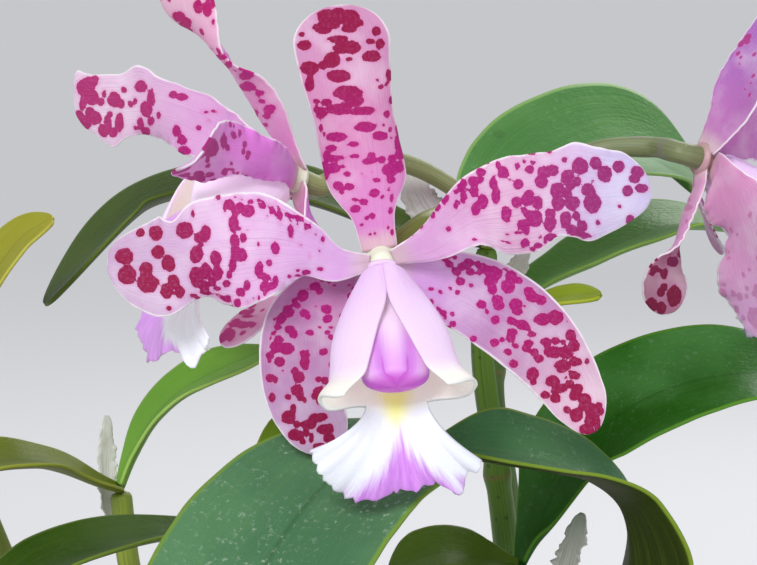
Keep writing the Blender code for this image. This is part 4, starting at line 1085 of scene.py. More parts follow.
LEFT_TEPALS = {
    "dorsal_sepal": {
        "spine": [
            (-2, 9.2, 0.8), (-6.2, 15.6, 2.6), (-11.2, 21.4, 4.6), (-15, 26.2, 6.4), (-18.2, 32, 7.6),
            (-20, 39.6, 8),
        ],
        "face": [(-0.85, 0.1, 0.5), (-0.85, 0, 0.45), (-0.95, 0, 0.15), (-0.7, 0, 0.7), (-0.6, -0.1, 0.8)],
        "left": [2.6, 3.4, 5.4, 6.0, 5.2, 5.6, 6.4, 6.4],
        "curl": [0, -10, -26, -26, -16, -8],
        "ripple": (0.3, 2.0, 0.0),
        "rounded": 0.84,
    },
    "left_petal": {
        "spine": [
            (-6.5, 4.6, -3), (-11.5, 7.4, -6), (-17, 10, -9), (-22.6, 12, -12), (-28.5, 12.6, -15),
            (-40.8, 11.5, -19),
        ],
        "face": [(-0.4, 0.1, 0.9), (-0.3, 0, 0.95), (-0.3, -0.1, 0.9)],
        "left": [2.2, 2.7, 3.2, 4.3, 5.4, 6.0, 6.6, 6.5, 6.4, 5.8, 5.2, 6.0, 7.4, 4.8, 2.4],
        "right": [2.2, 2.6, 3.0, 3.6, 4.2, 4.4, 4.6, 4.5, 4.4, 5.4, 7.2, 5.7, 5.6, 6.2, 8.0],
        "curl": [20, 8, -10, -14, -8, -4],
        "ripple": (1.2, 2.4, 1.6),
        "rounded": 0.96,
    },
    "right_petal": {
        "spine": [(0, 1.6, 6.8), (-4, 3, 11.4), (-8.6, 4.4, 16.2), (-13.6, 4.4, 21), (-18.8, 3, 25)],
        "face": [(-0.9, 0.2, -0.1), (-0.95, 0.1, 0), (-0.8, 0.3, 0.45)],
        "left": [2.2, 3.4, 4.6, 5.6, 6.4, 6.8, 6.6],
        "right": [2.2, 2.0, 2.4, 2.4, 3.0, 4.6, 6.0],
        "curl": [16, 16, 10, 0, -6],
        "ripple": (0.7, 2.2, 0.4),
        "rounded": 0.84,
    },
    "left_sepal": {
        "spine": [(-3, -5, -6), (-8, -11, -12), (-14, -16, -19), (-21, -20, -24)],
        "face": [(-0.85, 0.2, 0.4), (-0.8, 0.4, 0.3), (-0.7, 0.5, 0.4)],
        "left": [2.0, 4.8, 6.4, 6.8, 6.2, 5.2, 4.0],
        "curl": [10, 12, 14, 12, 8],
        "ripple": (0.3, 1.6, 1.0),
        "rounded": 0.84,
    },
    "right_sepal": {
        "spine": [(3.6, -5.4, 3), (5.6, -10.4, 5), (3.6, -17, 7.5), (-1.6, -22.6, 9.5), (-11.6, -29.8, 12)],
        "face": [(-0.9, 0.1, -0.3), (-0.85, 0.25, -0.2), (-0.55, 0.7, 0.3), (-0.45, 0.7, 0.5)],
        "left": [2.0, 4.2, 5.8, 6.2, 6.0, 5.2, 4.2],
        "curl": [10, 14, 14, 12, 8],
        "ripple": (0.3, 1.5, 0.4),
        "rounded": 0.84,
    },
}
RIGHT_TEPALS = {
    "dorsal_sepal": {
        "spine": [(3.6, 9.4, 2), (6.6, 15, 1.6), (10.6, 21, 0.4), (15.6, 27, -1.6), (21, 33, -4)],
        "face": [(0.8, -0.3, -0.5), (0.8, -0.3, -0.5), (0.8, -0.3, -0.5)],
        "left": [2.6, 4.4, 6.8, 7.6, 7.4, 7.6, 7.8, 7.4],
        "curl": [0, -10, -16, -16, -10, -6],
        "ripple": (0.3, 2.0, 0.0),
    },
    "left_petal": {
        "spine": [
            (1.2, -1.6, 6.6), (3.2, -6, 9.2), (5.4, -11.6, 10.8), (7.2, -17.4, 12), (8.8, -23.4, 12.8),
            (11.6, -32.4, 13),
        ],
        "face": [(0.8, 0.1, -0.5), (0.85, 0.2, -0.5), (0.8, 0.2, -0.6)],
        "left": [2.2, 5.4, 8.4, 6.6, 9.8, 11.6, 9.8, 8.4],
        "right": [2.2, 3.2, 6.8, 9.0, 9.8, 9.6, 9.0, 8.0],
        "curl": [10, 4, -6, -8, -4],
        "ripple": (1.0, 2.4, 1.6),
    },
    "right_petal": {
        "spine": [(4.5, 3.4, -6), (9.6, 6.6, -12), (15.4, 8.8, -18), (21, 9.6, -24), (27.5, 8.6, -30)],
        "face": [(0.85, -0.1, 0.4), (0.85, 0, 0.5), (0.8, 0.1, 0.6)],
        "left": [2.2, 3.2, 5.6, 8.6, 9.6, 9.2, 8.4, 7.4],
        "curl": [20, 10, -8, -14, -8, -4],
        "ripple": (1.2, 2.4, 1.6),
    },
    "left_sepal": {
        "spine": [
            (-2.4, -4.6, 2.8), (-4.6, -10.4, 2.6), (-6.8, -16, 2.4), (-8.8, -21, 2.6), (-8.2, -28.6, 3),
        ],
        "face": [(0.9, 0, -0.3), (0.95, 0, 0.1), (0.6, 0, 0.8), (0.4, 0.1, 0.9)],
        "left": [1.6, 1.7, 2.0, 2.7, 4.0, 4.9, 4.4],
        "curl": [10, 12, 14, 12, 8],
        "ripple": (0.3, 1.6, 1.0),
    },
    "right_sepal": {
        "spine": [
            (-2, -4.6, -5.2), (-1, -8.2, -11), (0.8, -11.6, -17), (2.6, -15, -22), (4.4, -19.4, -26.4),
        ],
        "face": [(0.8, -0.1, -0.5), (0.8, -0.1, -0.5), (0.8, 0, -0.5)],
        "left": [1.4, 2.2, 3.0, 3.8, 4.2, 4.0, 3.4],
        "curl": [10, 12, 14, 12, 8],
        "ripple": (0.4, 1.5, 0.4),
        "rounded": 0.84,
    },
}
# The spots that the viewer sees: each one's centre, half width and half height in the photo's pixels
SPOTS_SEEN = {
    "front_bloom_dorsal_sepal": [
        (328, 17, 11, 8), (348, 17, 11.5, 8), (338, 12, 8, 4.5), (355, 23, 8, 5), (323, 28, 9.5, 6),
        (349, 28, 8.5, 4), (334, 23, 7, 6), (302, 34, 3, 3), (376, 31, 4.6, 5), (305, 45, 7.8, 5.2),
        (338, 39, 10.5, 4), (347, 47, 14, 7), (370, 41, 5.3, 3), (380, 43, 5, 5.6), (371, 56, 9.7, 6),
        (332, 60, 8.3, 7.6), (349, 59, 3.8, 2.2), (323, 65, 5.3, 4.3), (310, 68, 9.6, 7),
        (339, 76, 11.8, 6.4), (310, 83, 5, 8), (388, 75, 3, 6), (377, 80, 1.2, 1.2), (380, 87, 2.9, 2.3),
        (386, 84, 1.6, 2), (348, 93, 14, 7.8), (354, 101, 10, 6), (340, 109, 13, 6), (362, 111, 14, 4.6),
        (317, 101, 3.6, 2.4), (327, 102, 5.6, 3.8), (322, 113, 6, 5.5), (317, 109, 3.2, 3.6),
        (390, 100, 2.4, 4.4), (386, 114, 3, 4.4), (391, 109, 1.3, 2.4), (365, 127, 10.5, 5.4),
        (382, 126, 1.5, 1.5), (338, 137, 10.4, 4.8), (322, 129, 2.2, 5.4), (325, 134, 2, 2.4),
        (379, 136, 7.8, 4.6), (389, 130, 2, 2.7), (397, 130, 2.4, 5.8), (390, 138, 1.4, 2.4),
        (353, 144, 5.9, 3.6), (333, 148, 5.8, 3.6), (399, 144, 6, 10), (335, 158, 9.6, 3.4),
        (328, 157, 4.2, 6.6), (355, 156, 4, 2.4), (371, 155, 4.4, 2.4), (369, 161, 7, 4),
        (381, 160, 4.7, 3.4), (391, 159, 4.6, 4.2), (399, 155, 5.4, 6), (344, 167, 3.6, 1.9),
        (334, 168, 8, 5.4), (325, 165, 3, 4.8), (348, 174, 3.4, 2), (327, 175, 3.6, 5.4),
        (390, 170, 8.4, 6.2), (398, 167, 5, 6.8), (390, 180, 4.2, 4), (362, 174, 1.1, 0.9),
        (365, 177, 1.1, 1), (372, 172, 1, 0.9), (376, 180, 3.8, 2.8), (339, 186, 5.4, 4.5),
        (350, 187, 5.8, 3.6), (343, 193, 2, 2.4), (374, 193, 5.2, 4.4), (382, 197, 2.4, 1.9),
        (388, 189, 1.6, 2.6), (391, 198, 1.8, 5.6), (355, 200, 3.6, 2.2), (364, 202, 4.6, 3.4),
        (356, 209, 5.2, 4.4), (390, 211, 2.6, 4), (372, 216, 3, 3.2), (367, 218, 2.4, 2),
        (362, 225, 2.2, 1.8), (388, 228, 1.7, 2.3), (370, 234, 2, 1.9), (375, 234, 1.8, 1.8),
        (392, 232, 2, 3),
    ],
    "front_bloom_left_petal": [
        (125, 256, 9.4, 8.2), (128, 275, 9.4, 9.8), (141, 233, 4.2, 4.2), (157, 233, 7.2, 8),
        (147, 269, 6.8, 7.6), (148, 283, 10.6, 9.8), (155, 282, 4.8, 5), (159, 252, 6.8, 6.8),
        (169, 263, 7.1, 8.9), (174, 281, 5.8, 6.8), (167, 291, 6.5, 7.9), (180, 292, 5.2, 6.8),
        (169, 308, 3.1, 2.7), (185, 230, 8.6, 8.4), (206, 233, 4.8, 8.4), (200, 238, 5.1, 5.8),
        (201, 245, 2.6, 2.6), (197, 254, 6.6, 9.4), (216, 258, 5.8, 8.4), (197, 276, 7.7, 10),
        (206, 271, 5.2, 8.2), (218, 273, 5, 8), (213, 281, 4.1, 5.1), (205, 285, 5.5, 6.4),
        (194, 295, 5, 2.4), (206, 292, 7.2, 2.8), (198, 297, 4, 1.8), (202, 302, 2.1, 1.7),
        (230, 205, 4.8, 5.6), (225, 207, 1.8, 4.6), (236, 212, 3.8, 4.8), (241, 206, 3.6, 3.8),
        (248, 211, 7.6, 6.4), (251, 202, 3, 2.4), (235, 197, 2.4, 1.4), (242, 200, 1.4, 1.4),
        (218, 198, 2.4, 2.7), (193, 213, 1.8, 4.2), (234, 224, 6, 8.2), (240, 228, 1.8, 2.6),
        (248, 230, 1, 1), (235, 241, 4.8, 7), (244, 238, 2.8, 5), (235, 251, 4.8, 8), (242, 255, 5.2, 7.5),
        (233, 264, 4.2, 10), (230, 274, 3.2, 4.8), (227, 283, 4.4, 3.8), (218, 288, 4.4, 2.8),
        (259, 244, 1.5, 2.2), (275, 247, 4.4, 6.8), (269, 263, 3.1, 3.7), (259, 270, 4.6, 8.8),
        (247, 285, 3.4, 5), (241, 292, 4.4, 5), (228, 298, 4, 4), (223, 297, 3, 2.4), (218, 294, 2.4, 1.8),
        (238, 303, 3.4, 4.6), (233, 306, 1.5, 1.5), (247, 302, 2, 1.4), (254, 298, 1, 1),
        (260, 298, 1.6, 3.6), (265, 294, 1.6, 2), (266, 278, 4, 5.4), (265, 287, 5, 5.8), (271, 286, 4, 3.8),
        (275, 281, 2.8, 5.2), (263, 206, 3.8, 3.4), (260, 200, 2.6, 1.8), (267, 216, 1.4, 1.4),
        (272, 209, 2.8, 4.6), (276, 204, 0.9, 2.2), (280, 215, 3, 7.4), (291, 230, 2.8, 8.2),
        (287, 214, 2.6, 2), (292, 216, 4, 2.4), (291, 220, 1.6, 2), (298, 224, 1.2, 2), (300, 218, 3.6, 3.4),
        (306, 226, 2, 4), (310, 226, 1.7, 3.1), (315, 233, 1.5, 2.2), (322, 239, 2.4, 3.4),
        (300, 245, 1.3, 1.3), (319, 250, 1.3, 1.9), (309, 256, 1.3, 1.6), (289, 276, 2.4, 1.8),
        (297, 275, 3.4, 1.4), (297, 270, 2, 1.4), (306, 272, 4.8, 2.8), (320, 269, 3.4, 2.4),
    ],
    "front_bloom_right_petal": [
        (421, 226, 2.5, 3.4), (424, 219, 1.8, 3.7), (433, 215, 2.7, 4.7), (438, 207, 2.9, 3.4),
        (412, 235, 1, 1), (449, 228, 2.9, 3.2), (445, 199, 3, 4.7), (448, 197, 1.2, 3.4), (455, 191, 1.6, 4),
        (456, 205, 2.9, 4.7), (465, 172, 2.6, 2.6), (463, 181, 3.4, 3.4), (461, 187, 3.7, 5),
        (464, 196, 3.7, 8.2), (472, 181, 5, 4.7), (474, 190, 4.3, 7.6), (481, 172, 4.7, 4),
        (480, 179, 4.2, 4), (476, 208, 5, 7), (483, 201, 5.5, 7.5), (487, 163, 2.6, 1.8),
        (498, 165, 2.8, 3.8), (493, 183, 4, 6), (496, 195, 4.3, 9.2), (495, 177, 1.4, 2.4),
        (503, 173, 5.8, 6.3), (510, 180, 2, 2), (517, 166, 2.4, 4), (524, 162, 2.5, 2.6), (512, 156, 1, 1),
        (526, 152, 1, 1), (531, 154, 2.3, 1.2), (533, 163, 2.8, 2), (529, 170, 5, 4.3), (518, 185, 5, 5.3),
        (506, 214, 5.2, 8.4), (516, 202, 5, 6), (529, 193, 5, 4.2), (527, 200, 6.7, 6.4),
        (537, 203, 5.4, 7.4), (523, 210, 3, 3), (543, 173, 6.4, 6.7), (541, 182, 6.4, 7), (553, 171, 5.4, 6),
        (534, 218, 8.4, 8.6), (526, 214, 3.6, 4), (522, 224, 4.7, 6), (526, 229, 3.6, 5.5),
        (519, 232, 5.6, 1.8), (564, 160, 3, 3), (550, 152, 4, 2.6), (567, 177, 6.7, 7.7),
        (570, 186, 4.4, 5.4), (577, 181, 3.7, 4.5), (557, 191, 7.4, 8), (567, 193, 5, 6), (557, 203, 6.4, 8),
        (572, 203, 7.6, 7), (550, 214, 6, 6), (550, 223, 6.8, 7.8), (565, 220, 5.7, 8.6),
        (571, 230, 5.6, 5.6), (580, 166, 8.2, 8.7), (595, 163, 5.8, 6.5), (604, 174, 7.4, 8.2),
        (592, 181, 1.6, 1.6), (588, 190, 7.2, 6.6), (592, 203, 9, 10), (576, 216, 3.7, 4.5),
        (582, 226, 5.4, 6.6), (578, 233, 6.6, 3.4), (586, 235, 6, 3), (597, 222, 2.5, 3),
        (618, 167, 5.9, 6.3), (637, 172, 7, 6), (634, 179, 5.4, 4.3), (641, 188, 6.7, 4.5),
        (627, 191, 5.5, 5.6), (619, 206, 2.4, 2.3), (630, 220, 4.4, 5.6), (525, 242, 4.7, 4.3),
        (540, 237, 2, 3), (545, 240, 2.4, 4), (551, 237, 6.6, 3.6), (538, 245, 3.7, 3), (533, 249, 3, 2.5),
        (524, 248, 1.7, 1.2), (507, 234, 1.3, 0.9), (503, 240, 2.4, 0.9), (508, 242, 2.7, 0.9),
        (475, 240, 2.9, 1.5),
    ],
    "front_bloom_left_sepal": [
        (323, 279, 2.7, 2.4), (315, 286, 6, 4.7), (320, 291, 3.7, 3.7), (303, 295, 6, 6), (295, 301, 3.3, 4),
        (297, 305, 4, 3.3), (288, 311, 6, 6.4), (281, 319, 4.3, 5.3), (277, 327, 4, 3.7),
        (274, 319, 1.2, 1.8), (329, 281, 2.4, 1.9), (334, 276, 2.4, 1.9), (335, 285, 1.6, 1),
        (354, 288, 2.4, 2.1), (350, 285, 1.6, 1.1), (350, 296, 3.3, 3.2), (342, 316, 2.4, 2.4),
        (327, 309, 5.5, 5), (328, 319, 5.1, 4.4), (316, 306, 1.1, 1.1), (305, 313, 5, 4.4),
        (308, 317, 3.3, 3.3), (290, 329, 5.4, 4.7), (294, 334, 4.2, 4.4), (320, 327, 1.9, 1.6),
        (331, 327, 1.9, 1.4), (328, 333, 2.7, 2.1), (331, 337, 2.7, 2.7), (310, 333, 4.2, 3.3),
        (305, 333, 1.2, 1), (273, 333, 2.4, 1.9), (270, 338, 1.4, 2.1), (279, 339, 4.8, 3.8),
        (276, 347, 7, 6), (287, 349, 7.3, 6.2), (270, 355, 4, 4), (269, 361, 2.1, 2.1), (280, 362, 5.6, 5.3),
        (283, 371, 2.1, 1.6), (305, 354, 5.4, 4.2), (305, 363, 5.2, 7.2), (308, 351, 1.6, 1.6),
        (324, 352, 4.8, 4), (332, 365, 2.7, 3.2), (334, 376, 1.6, 4.3), (295, 371, 4.4, 4),
        (299, 377, 6, 6.2), (270, 378, 4.7, 4.6), (275, 380, 3, 3.5), (297, 390, 6.2, 6),
        (300, 396, 4.6, 4.8), (305, 399, 2.4, 3.2), (288, 397, 3.7, 3.6), (272, 397, 3.6, 4.8),
        (319, 379, 2.9, 2.7), (326, 380, 3.7, 3.6), (329, 386, 2.7, 4.7), (320, 392, 6.4, 5.4),
        (315, 396, 4.6, 3), (321, 399, 5, 6), (293, 408, 3.2, 4.6), (288, 417, 7.4, 7), (297, 424, 3.6, 3.6),
        (296, 435, 8, 6.2), (302, 441, 3.3, 3.3), (318, 417, 9.4, 5), (308, 424, 8, 5.4), (306, 431, 3.4, 6),
        (311, 437, 2.4, 5), (324, 429, 7.4, 5.4), (329, 428, 4.4, 4.8), (329, 438, 6.6, 5),
        (320, 446, 8, 4.2),
    ],
    "front_bloom_right_sepal": [
        (440, 257, 3.8, 2.3), (445, 259, 3.2, 3.2), (449, 263, 4, 3.8), (448, 256, 2.3, 1.8),
        (454, 257, 2.8, 2.5), (456, 271, 5, 4.8), (462, 266, 5, 4.8), (469, 262, 5, 4.4),
        (470, 271, 4.8, 3.6), (478, 264, 4, 3.5), (483, 268, 5.7, 5.7), (479, 273, 2.6, 2.3),
        (460, 281, 5, 4.4), (471, 285, 2.3, 2.5), (450, 288, 2, 2), (457, 292, 3.3, 2.7),
        (440, 292, 2.8, 2.4), (430, 289, 2.5, 1.5), (431, 302, 2, 2.6), (493, 273, 8.6, 8.2),
        (490, 281, 6.3, 6), (492, 290, 4.8, 4.8), (505, 269, 2.8, 1.8), (511, 276, 6, 5.6),
        (508, 286, 7, 7.2), (518, 280, 4.8, 3.8), (529, 292, 5.7, 6.4), (532, 297, 6.8, 5.6),
        (541, 300, 6.3, 5), (497, 300, 6.6, 5.3), (498, 305, 6.2, 5.5), (481, 304, 5, 4.4),
        (487, 312, 2.5, 2.8), (515, 304, 7, 6.2), (517, 311, 5.6, 4.8), (524, 306, 2, 1.8),
        (495, 320, 5.3, 4.4), (511, 321, 6, 4.3), (522, 325, 7, 5.4), (531, 334, 4.8, 3), (527, 329, 3.2, 2),
        (542, 319, 8.6, 6.4), (555, 317, 8.6, 7.4), (567, 321, 1.2, 1.2), (512, 332, 5, 3.6),
        (510, 338, 5.2, 5), (494, 343, 5, 4.6), (502, 340, 3, 3), (515, 346, 4, 2.5), (507, 352, 4.3, 3.8),
        (473, 339, 3.8, 3.3), (466, 342, 2.3, 1), (459, 338, 2.8, 2.6), (453, 324, 3.4, 3.6),
        (449, 328, 2.3, 2.3), (452, 314, 2.3, 2.3), (443, 313, 3.3, 3.3), (445, 317, 2.3, 2.3),
        (438, 309, 1.8, 2.5), (528, 343, 5.3, 4.3), (526, 348, 5, 4.5), (534, 352, 4.8, 4),
        (538, 358, 5.3, 4.6), (546, 342, 6.3, 4.6), (555, 341, 5, 4), (563, 342, 3.3, 3.3),
        (553, 352, 10, 6), (565, 352, 9.4, 6.2), (574, 345, 6.4, 6.4), (571, 335, 5.2, 6.4),
        (563, 365, 8.8, 5.4), (575, 362, 7.6, 4.4), (561, 370, 5, 3), (587, 361, 3, 3), (574, 375, 6.2, 4.8),
        (566, 377, 2, 1.5), (513, 364, 4.8, 3.8), (532, 374, 6.4, 7), (533, 382, 3.2, 3.5),
        (552, 381, 7.8, 6), (559, 388, 8.6, 4.8), (553, 391, 3.8, 3), (570, 384, 5, 4.5), (577, 388, 6, 5),
        (545, 395, 5.2, 4.4), (555, 398, 5.7, 4.8), (574, 395, 5.7, 5.7), (584, 399, 7, 6),
        (567, 410, 4, 3.8), (576, 415, 7, 7.6), (584, 407, 6.3, 5), (592, 411, 8.2, 8.2),
        (599, 405, 3.6, 3.8), (592, 421, 8.6, 7.6), (587, 429, 8.6, 5.6), (601, 411, 2.8, 4.4),
        (597, 429, 3.6, 5),
    ],
    "left_bloom_left_petal": [
        (90, 82, 10, 5.6), (93, 98, 7, 7.5), (82, 88, 4.4, 7), (84, 103, 4, 9), (96, 118, 7, 7),
        (105, 94, 2.4, 3.4), (115, 99, 6.6, 8), (122, 104, 4.2, 4.6), (125, 90, 3.2, 3.2), (142, 86, 6, 6.4),
        (153, 90, 1.6, 2), (131, 104, 2.8, 3.2), (136, 101, 2, 3.2), (152, 98, 4, 8.4), (147, 109, 6.6, 8),
        (141, 123, 3.4, 6.6), (146, 131, 4.4, 5), (152, 121, 3.8, 4.4), (160, 115, 2.4, 3.4),
        (109, 123, 4.2, 8), (114, 132, 4.6, 5), (120, 123, 4.6, 10), (136, 128, 2.4, 3.2),
        (174, 95, 4.2, 3.8), (183, 97, 5.6, 3.8), (178, 131, 4.2, 6.4), (183, 140, 5, 4.6),
        (185, 151, 6.6, 4.6), (199, 128, 2.8, 2.4), (207, 113, 3, 1.6), (216, 112, 4, 2), (210, 121, 2, 1.6),
    ],
    "left_bloom_dorsal_sepal": [
        (180, 15, 6, 5.4), (187, 22, 6.6, 4.8), (205, 6, 4.2, 3.4), (200, 40, 4, 4.4), (214, 22, 1.6, 3),
        (220, 56, 8, 2.6), (210, 48, 5, 1.6), (228, 64, 5.2, 2.8), (247, 74, 7, 4.4), (249, 85, 8, 5),
        (244, 68, 4, 2), (261, 92, 4.2, 3.4), (257, 113, 3, 4.4), (271, 108, 6.4, 4.6), (263, 100, 3.4, 2.4),
        (268, 115, 4.2, 2.8), (266, 124, 3, 2), (190, 30, 4, 3), (196, 35, 3, 2),
    ],
    "left_bloom_right_petal": [
        (210, 147, 7, 9.6), (222, 141, 3.2, 7), (232, 135, 2.8, 4.4), (238, 134, 2, 4.6),
        (247, 153, 2.4, 2.4), (206, 159, 2, 3.2), (244, 176, 4, 1.4), (257, 182, 5, 1.4), (209, 174, 4, 3),
        (213, 180, 4.4, 2.4), (199, 182, 1.6, 2), (226, 148, 2, 3), (243, 145, 2, 4), (228, 170, 5, 1.4),
        (236, 173, 4, 1.2),
    ],
    "left_bloom_right_sepal": [(242, 326, 14, 3.6), (230, 336, 6.6, 6.6), (250, 318, 6, 2)],
    "right_bloom_left_sepal": [
        (679, 253, 4.8, 5), (671, 261, 6, 5.6), (653, 257, 4.2, 4.2), (650, 264, 2.4, 5),
        (651, 273, 2.9, 2.4), (663, 274, 3.8, 6), (657, 269, 3.8, 2.6), (659, 292, 4.2, 4.8),
        (673, 296, 7.2, 11), (663, 287, 3.8, 3.8), (688, 208, 5.4, 3.4), (690, 200, 4, 2.6),
    ],
}

# How many more spots the hidden stretches of a blade carry, and from which share of its length they start
SPOTS_GROWN = {
    "left_bloom_left_petal": (10, 0.75),
    "left_bloom_dorsal_sepal": (26, 0.35),
    "left_bloom_right_petal": (24, 0.4),
    "left_bloom_left_sepal": (40, 0.25),
    "left_bloom_right_sepal": (12, 0.3),
    "right_bloom_dorsal_sepal": (60, 0.25),
    "right_bloom_left_petal": (60, 0.3),
    "right_bloom_right_petal": (60, 0.3),
    "right_bloom_right_sepal": (40, 0.3),
    "right_bloom_left_sepal": (8, 0.2),
}


def pixel_of(point):
    """Where the photo shows a point, in its pixels."""
    away = point - PHOTO_EYE
    ahead = Vector((0, math.cos(PHOTO_PITCH), -math.sin(PHOTO_PITCH)))
    up = Vector((0, math.sin(PHOTO_PITCH), math.cos(PHOTO_PITCH)))
    scale = PHOTO_LENS / PHOTO_SENSOR * PHOTO_SIZE[0] / away.dot(ahead)
    return PHOTO_SIZE[0] / 2 + away.x * scale, PHOTO_SIZE[1] / 2 - away.dot(up) * scale


def mark_spots(piece, name, surface, seed):
    """Keeps with each point how deep inside a spot it lies, in millimetres, below zero between the spots.

    The spots are the seen ones and some grown at random. A thin seam stays between two that touch.
    """
    rng = random.Random(seed)
    count, start = SPOTS_GROWN.get(name, (0, 0.5))
    grown = []
    for _ in range(count):
        t = rng.uniform(start, 0.97)
        size = (0.35 + 1.3 * t * t) * rng.uniform(0.5, 1.25)
        grown.append((surface(rng.uniform(-0.92, 0.92), t) * MM, size))
    depths = []
    for vertex in piece.data.vertices:
        column, row = pixel_of(vertex.co / MM)
        found = [-1.0, -1.0]
        for x, y, wide, high in SPOTS_SEEN.get(name, []):
            if abs(column - x) < wide + 5 and abs(row - y) < high + 5:
                reach = math.hypot((column - x) / wide, (row - y) / high)
                found.append((1 - reach) * min(wide, high) / PIXELS_PER_MM)
        for middle, size in grown:
            found.append(size - (vertex.co - middle).length / MM)
        found.sort()
        seam = (found[-1] - found[-2]) * 1.3 + 0.1
        depths.append(min(found[-1], seam, 1.0))
    kept = piece.data.attributes.new("spot_depth", "FLOAT", "POINT")
    kept.data.foreach_set("value", depths)


def petal_finish(name, foot, middle, tip, spot_foot, spot_tip, shown):
    """A blade's skin from its foot to its tip. shown is how strongly the spots show on this side of it."""
    made, tree, shader = new_finish(name, 0.55)
    shader.inputs["Specular IOR Level"].default_value = 0.25
    shader.inputs["Subsurface Weight"].default_value = 0.12
    shader.inputs["Subsurface Radius"].default_value = (0.0012, 0.0006, 0.0009)
    where = place_of(tree)
    across, far = own_map(tree)
    from_middle = from_middle_of(tree, across)
    body = graded(tree, foot, middle, far, 0.02, 0.42)
    body = graded(tree, body, tip, far, 0.36, 0.8)
    body = graded(tree, body, tone(230, 214, 200), far, 0.08, 0.015, 0.6)
    lines = stripes(tree, across, 30, far)
    vein = grain(tree, lines, 1.7, 4, 0.6)
    body = graded(tree, body, foot, vein, 0.48, 0.78, 0.4)
    fine = stripes(tree, across, 90, far)
    thread = grain(tree, fine, 1.1, 3, 0.6)
    body = graded(tree, body, tone(178, 136, 190), thread, 0.52, 0.72, 0.3)
    body = graded(tree, body, tone(250, 240, 250), grain(tree, where, 130, 3), 0.4, 0.75, 0.3)
    margin = maths(tree, "MAXIMUM", fade(tree, from_middle, 0.94, 0.985), fade(tree, far, 0.975, 1.0))
    body = blend(tree, times(tree, margin, 0.85), body, tone(252, 244, 250))
    depth = add_node(tree, "ShaderNodeAttribute", attribute_name="spot_depth").outputs["Fac"]
    wobble = minus(tree, grain(tree, where, 650, 4, 0.6), 0.5)
    edge = plus(tree, depth, times(tree, wobble, 0.9))
    body = graded(tree, body, tone(220, 110, 180), edge, -0.5, 0.0, 0.32 * shown)
    spot = graded(tree, spot_foot, spot_tip, far, 0.25, 0.7)
    spot = graded(tree, spot, foot, grain(tree, where, 1900, 3, 0.7), 0.45, 0.8, 0.16)
    body = graded(tree, body, spot, edge, -0.04, 0.04, shown)
    colour_from(tree, shader, body)
    relief = plus(tree, vein, times(tree, thread, 0.6))
    bumps(tree, shader, relief, 0.0003, 0.6)
    return made


CRIMSON = (152, 6, 70)
MAGENTA = (178, 14, 122)
ROSE = (156, 40, 116)
# A blade's tones at its foot, in its middle and at its tip, and its spots' tones near its foot and its tip. A
# bloom's own name stands for its other blades.
TEPAL_TONES = {
    "front_bloom_dorsal_sepal": ((224, 140, 208), (218, 144, 190), (214, 152, 192), MAGENTA, CRIMSON),
    "front_bloom_left_petal": ((228, 172, 232), (228, 182, 224), (208, 176, 208), MAGENTA, CRIMSON),
    "front_bloom_right_petal": ((224, 166, 220), (224, 174, 208), (208, 196, 234), MAGENTA, ROSE),
    "front_bloom_left_sepal": ((200, 128, 180), (186, 128, 178), (204, 170, 206), MAGENTA, CRIMSON),
    "front_bloom_right_sepal": ((222, 168, 230), (184, 134, 178), (222, 184, 204), MAGENTA, CRIMSON),
    "left_bloom": ((222, 146, 220), (226, 174, 220), (230, 202, 224), MAGENTA, (176, 44, 112)),
    "left_bloom_dorsal_sepal": (
        (244, 160, 220), (248, 176, 216), (244, 192, 216), (206, 30, 140), (190, 24, 112),
    ),
    "left_bloom_right_petal": ((232, 140, 232), (232, 150, 232), (234, 190, 234), MAGENTA, MAGENTA),
    # Painted light: this sepal's tones are lighter than its fellows' to lift the shade it lies in.
    "left_bloom_right_sepal": ((232, 140, 200), (240, 168, 212), (240, 180, 216), MAGENTA, (200, 60, 140)),
    "right_bloom": ((206, 112, 190), (204, 128, 196), (204, 146, 204), MAGENTA, ROSE),
    "right_bloom_dorsal_sepal": ((196, 100, 186), (176, 100, 186), (190, 130, 200), MAGENTA, ROSE),
    "right_bloom_left_petal": ((216, 120, 190), (216, 146, 200), (222, 170, 214), MAGENTA, ROSE),
    # Painted shade: this sepal's tones are darkened for the shadow it lies in.
    "right_bloom_left_sepal": ((186, 110, 140), (178, 110, 136), (176, 124, 144), ROSE, (130, 20, 62)),
}
BACK_TONES = {
    "front_bloom": ((228, 150, 210), (226, 160, 208), (224, 180, 212)),
    # Painted light: the left bloom's backs are made brighter to lift the shade they lie in.
    "left_bloom": ((242, 142, 238), (242, 140, 236), (238, 160, 228)),
    "right_bloom": ((226, 150, 200), (222, 160, 206), (224, 176, 222)),
    "right_bloom_dorsal_sepal": ((200, 120, 192), (176, 108, 188), (172, 110, 196)),
}
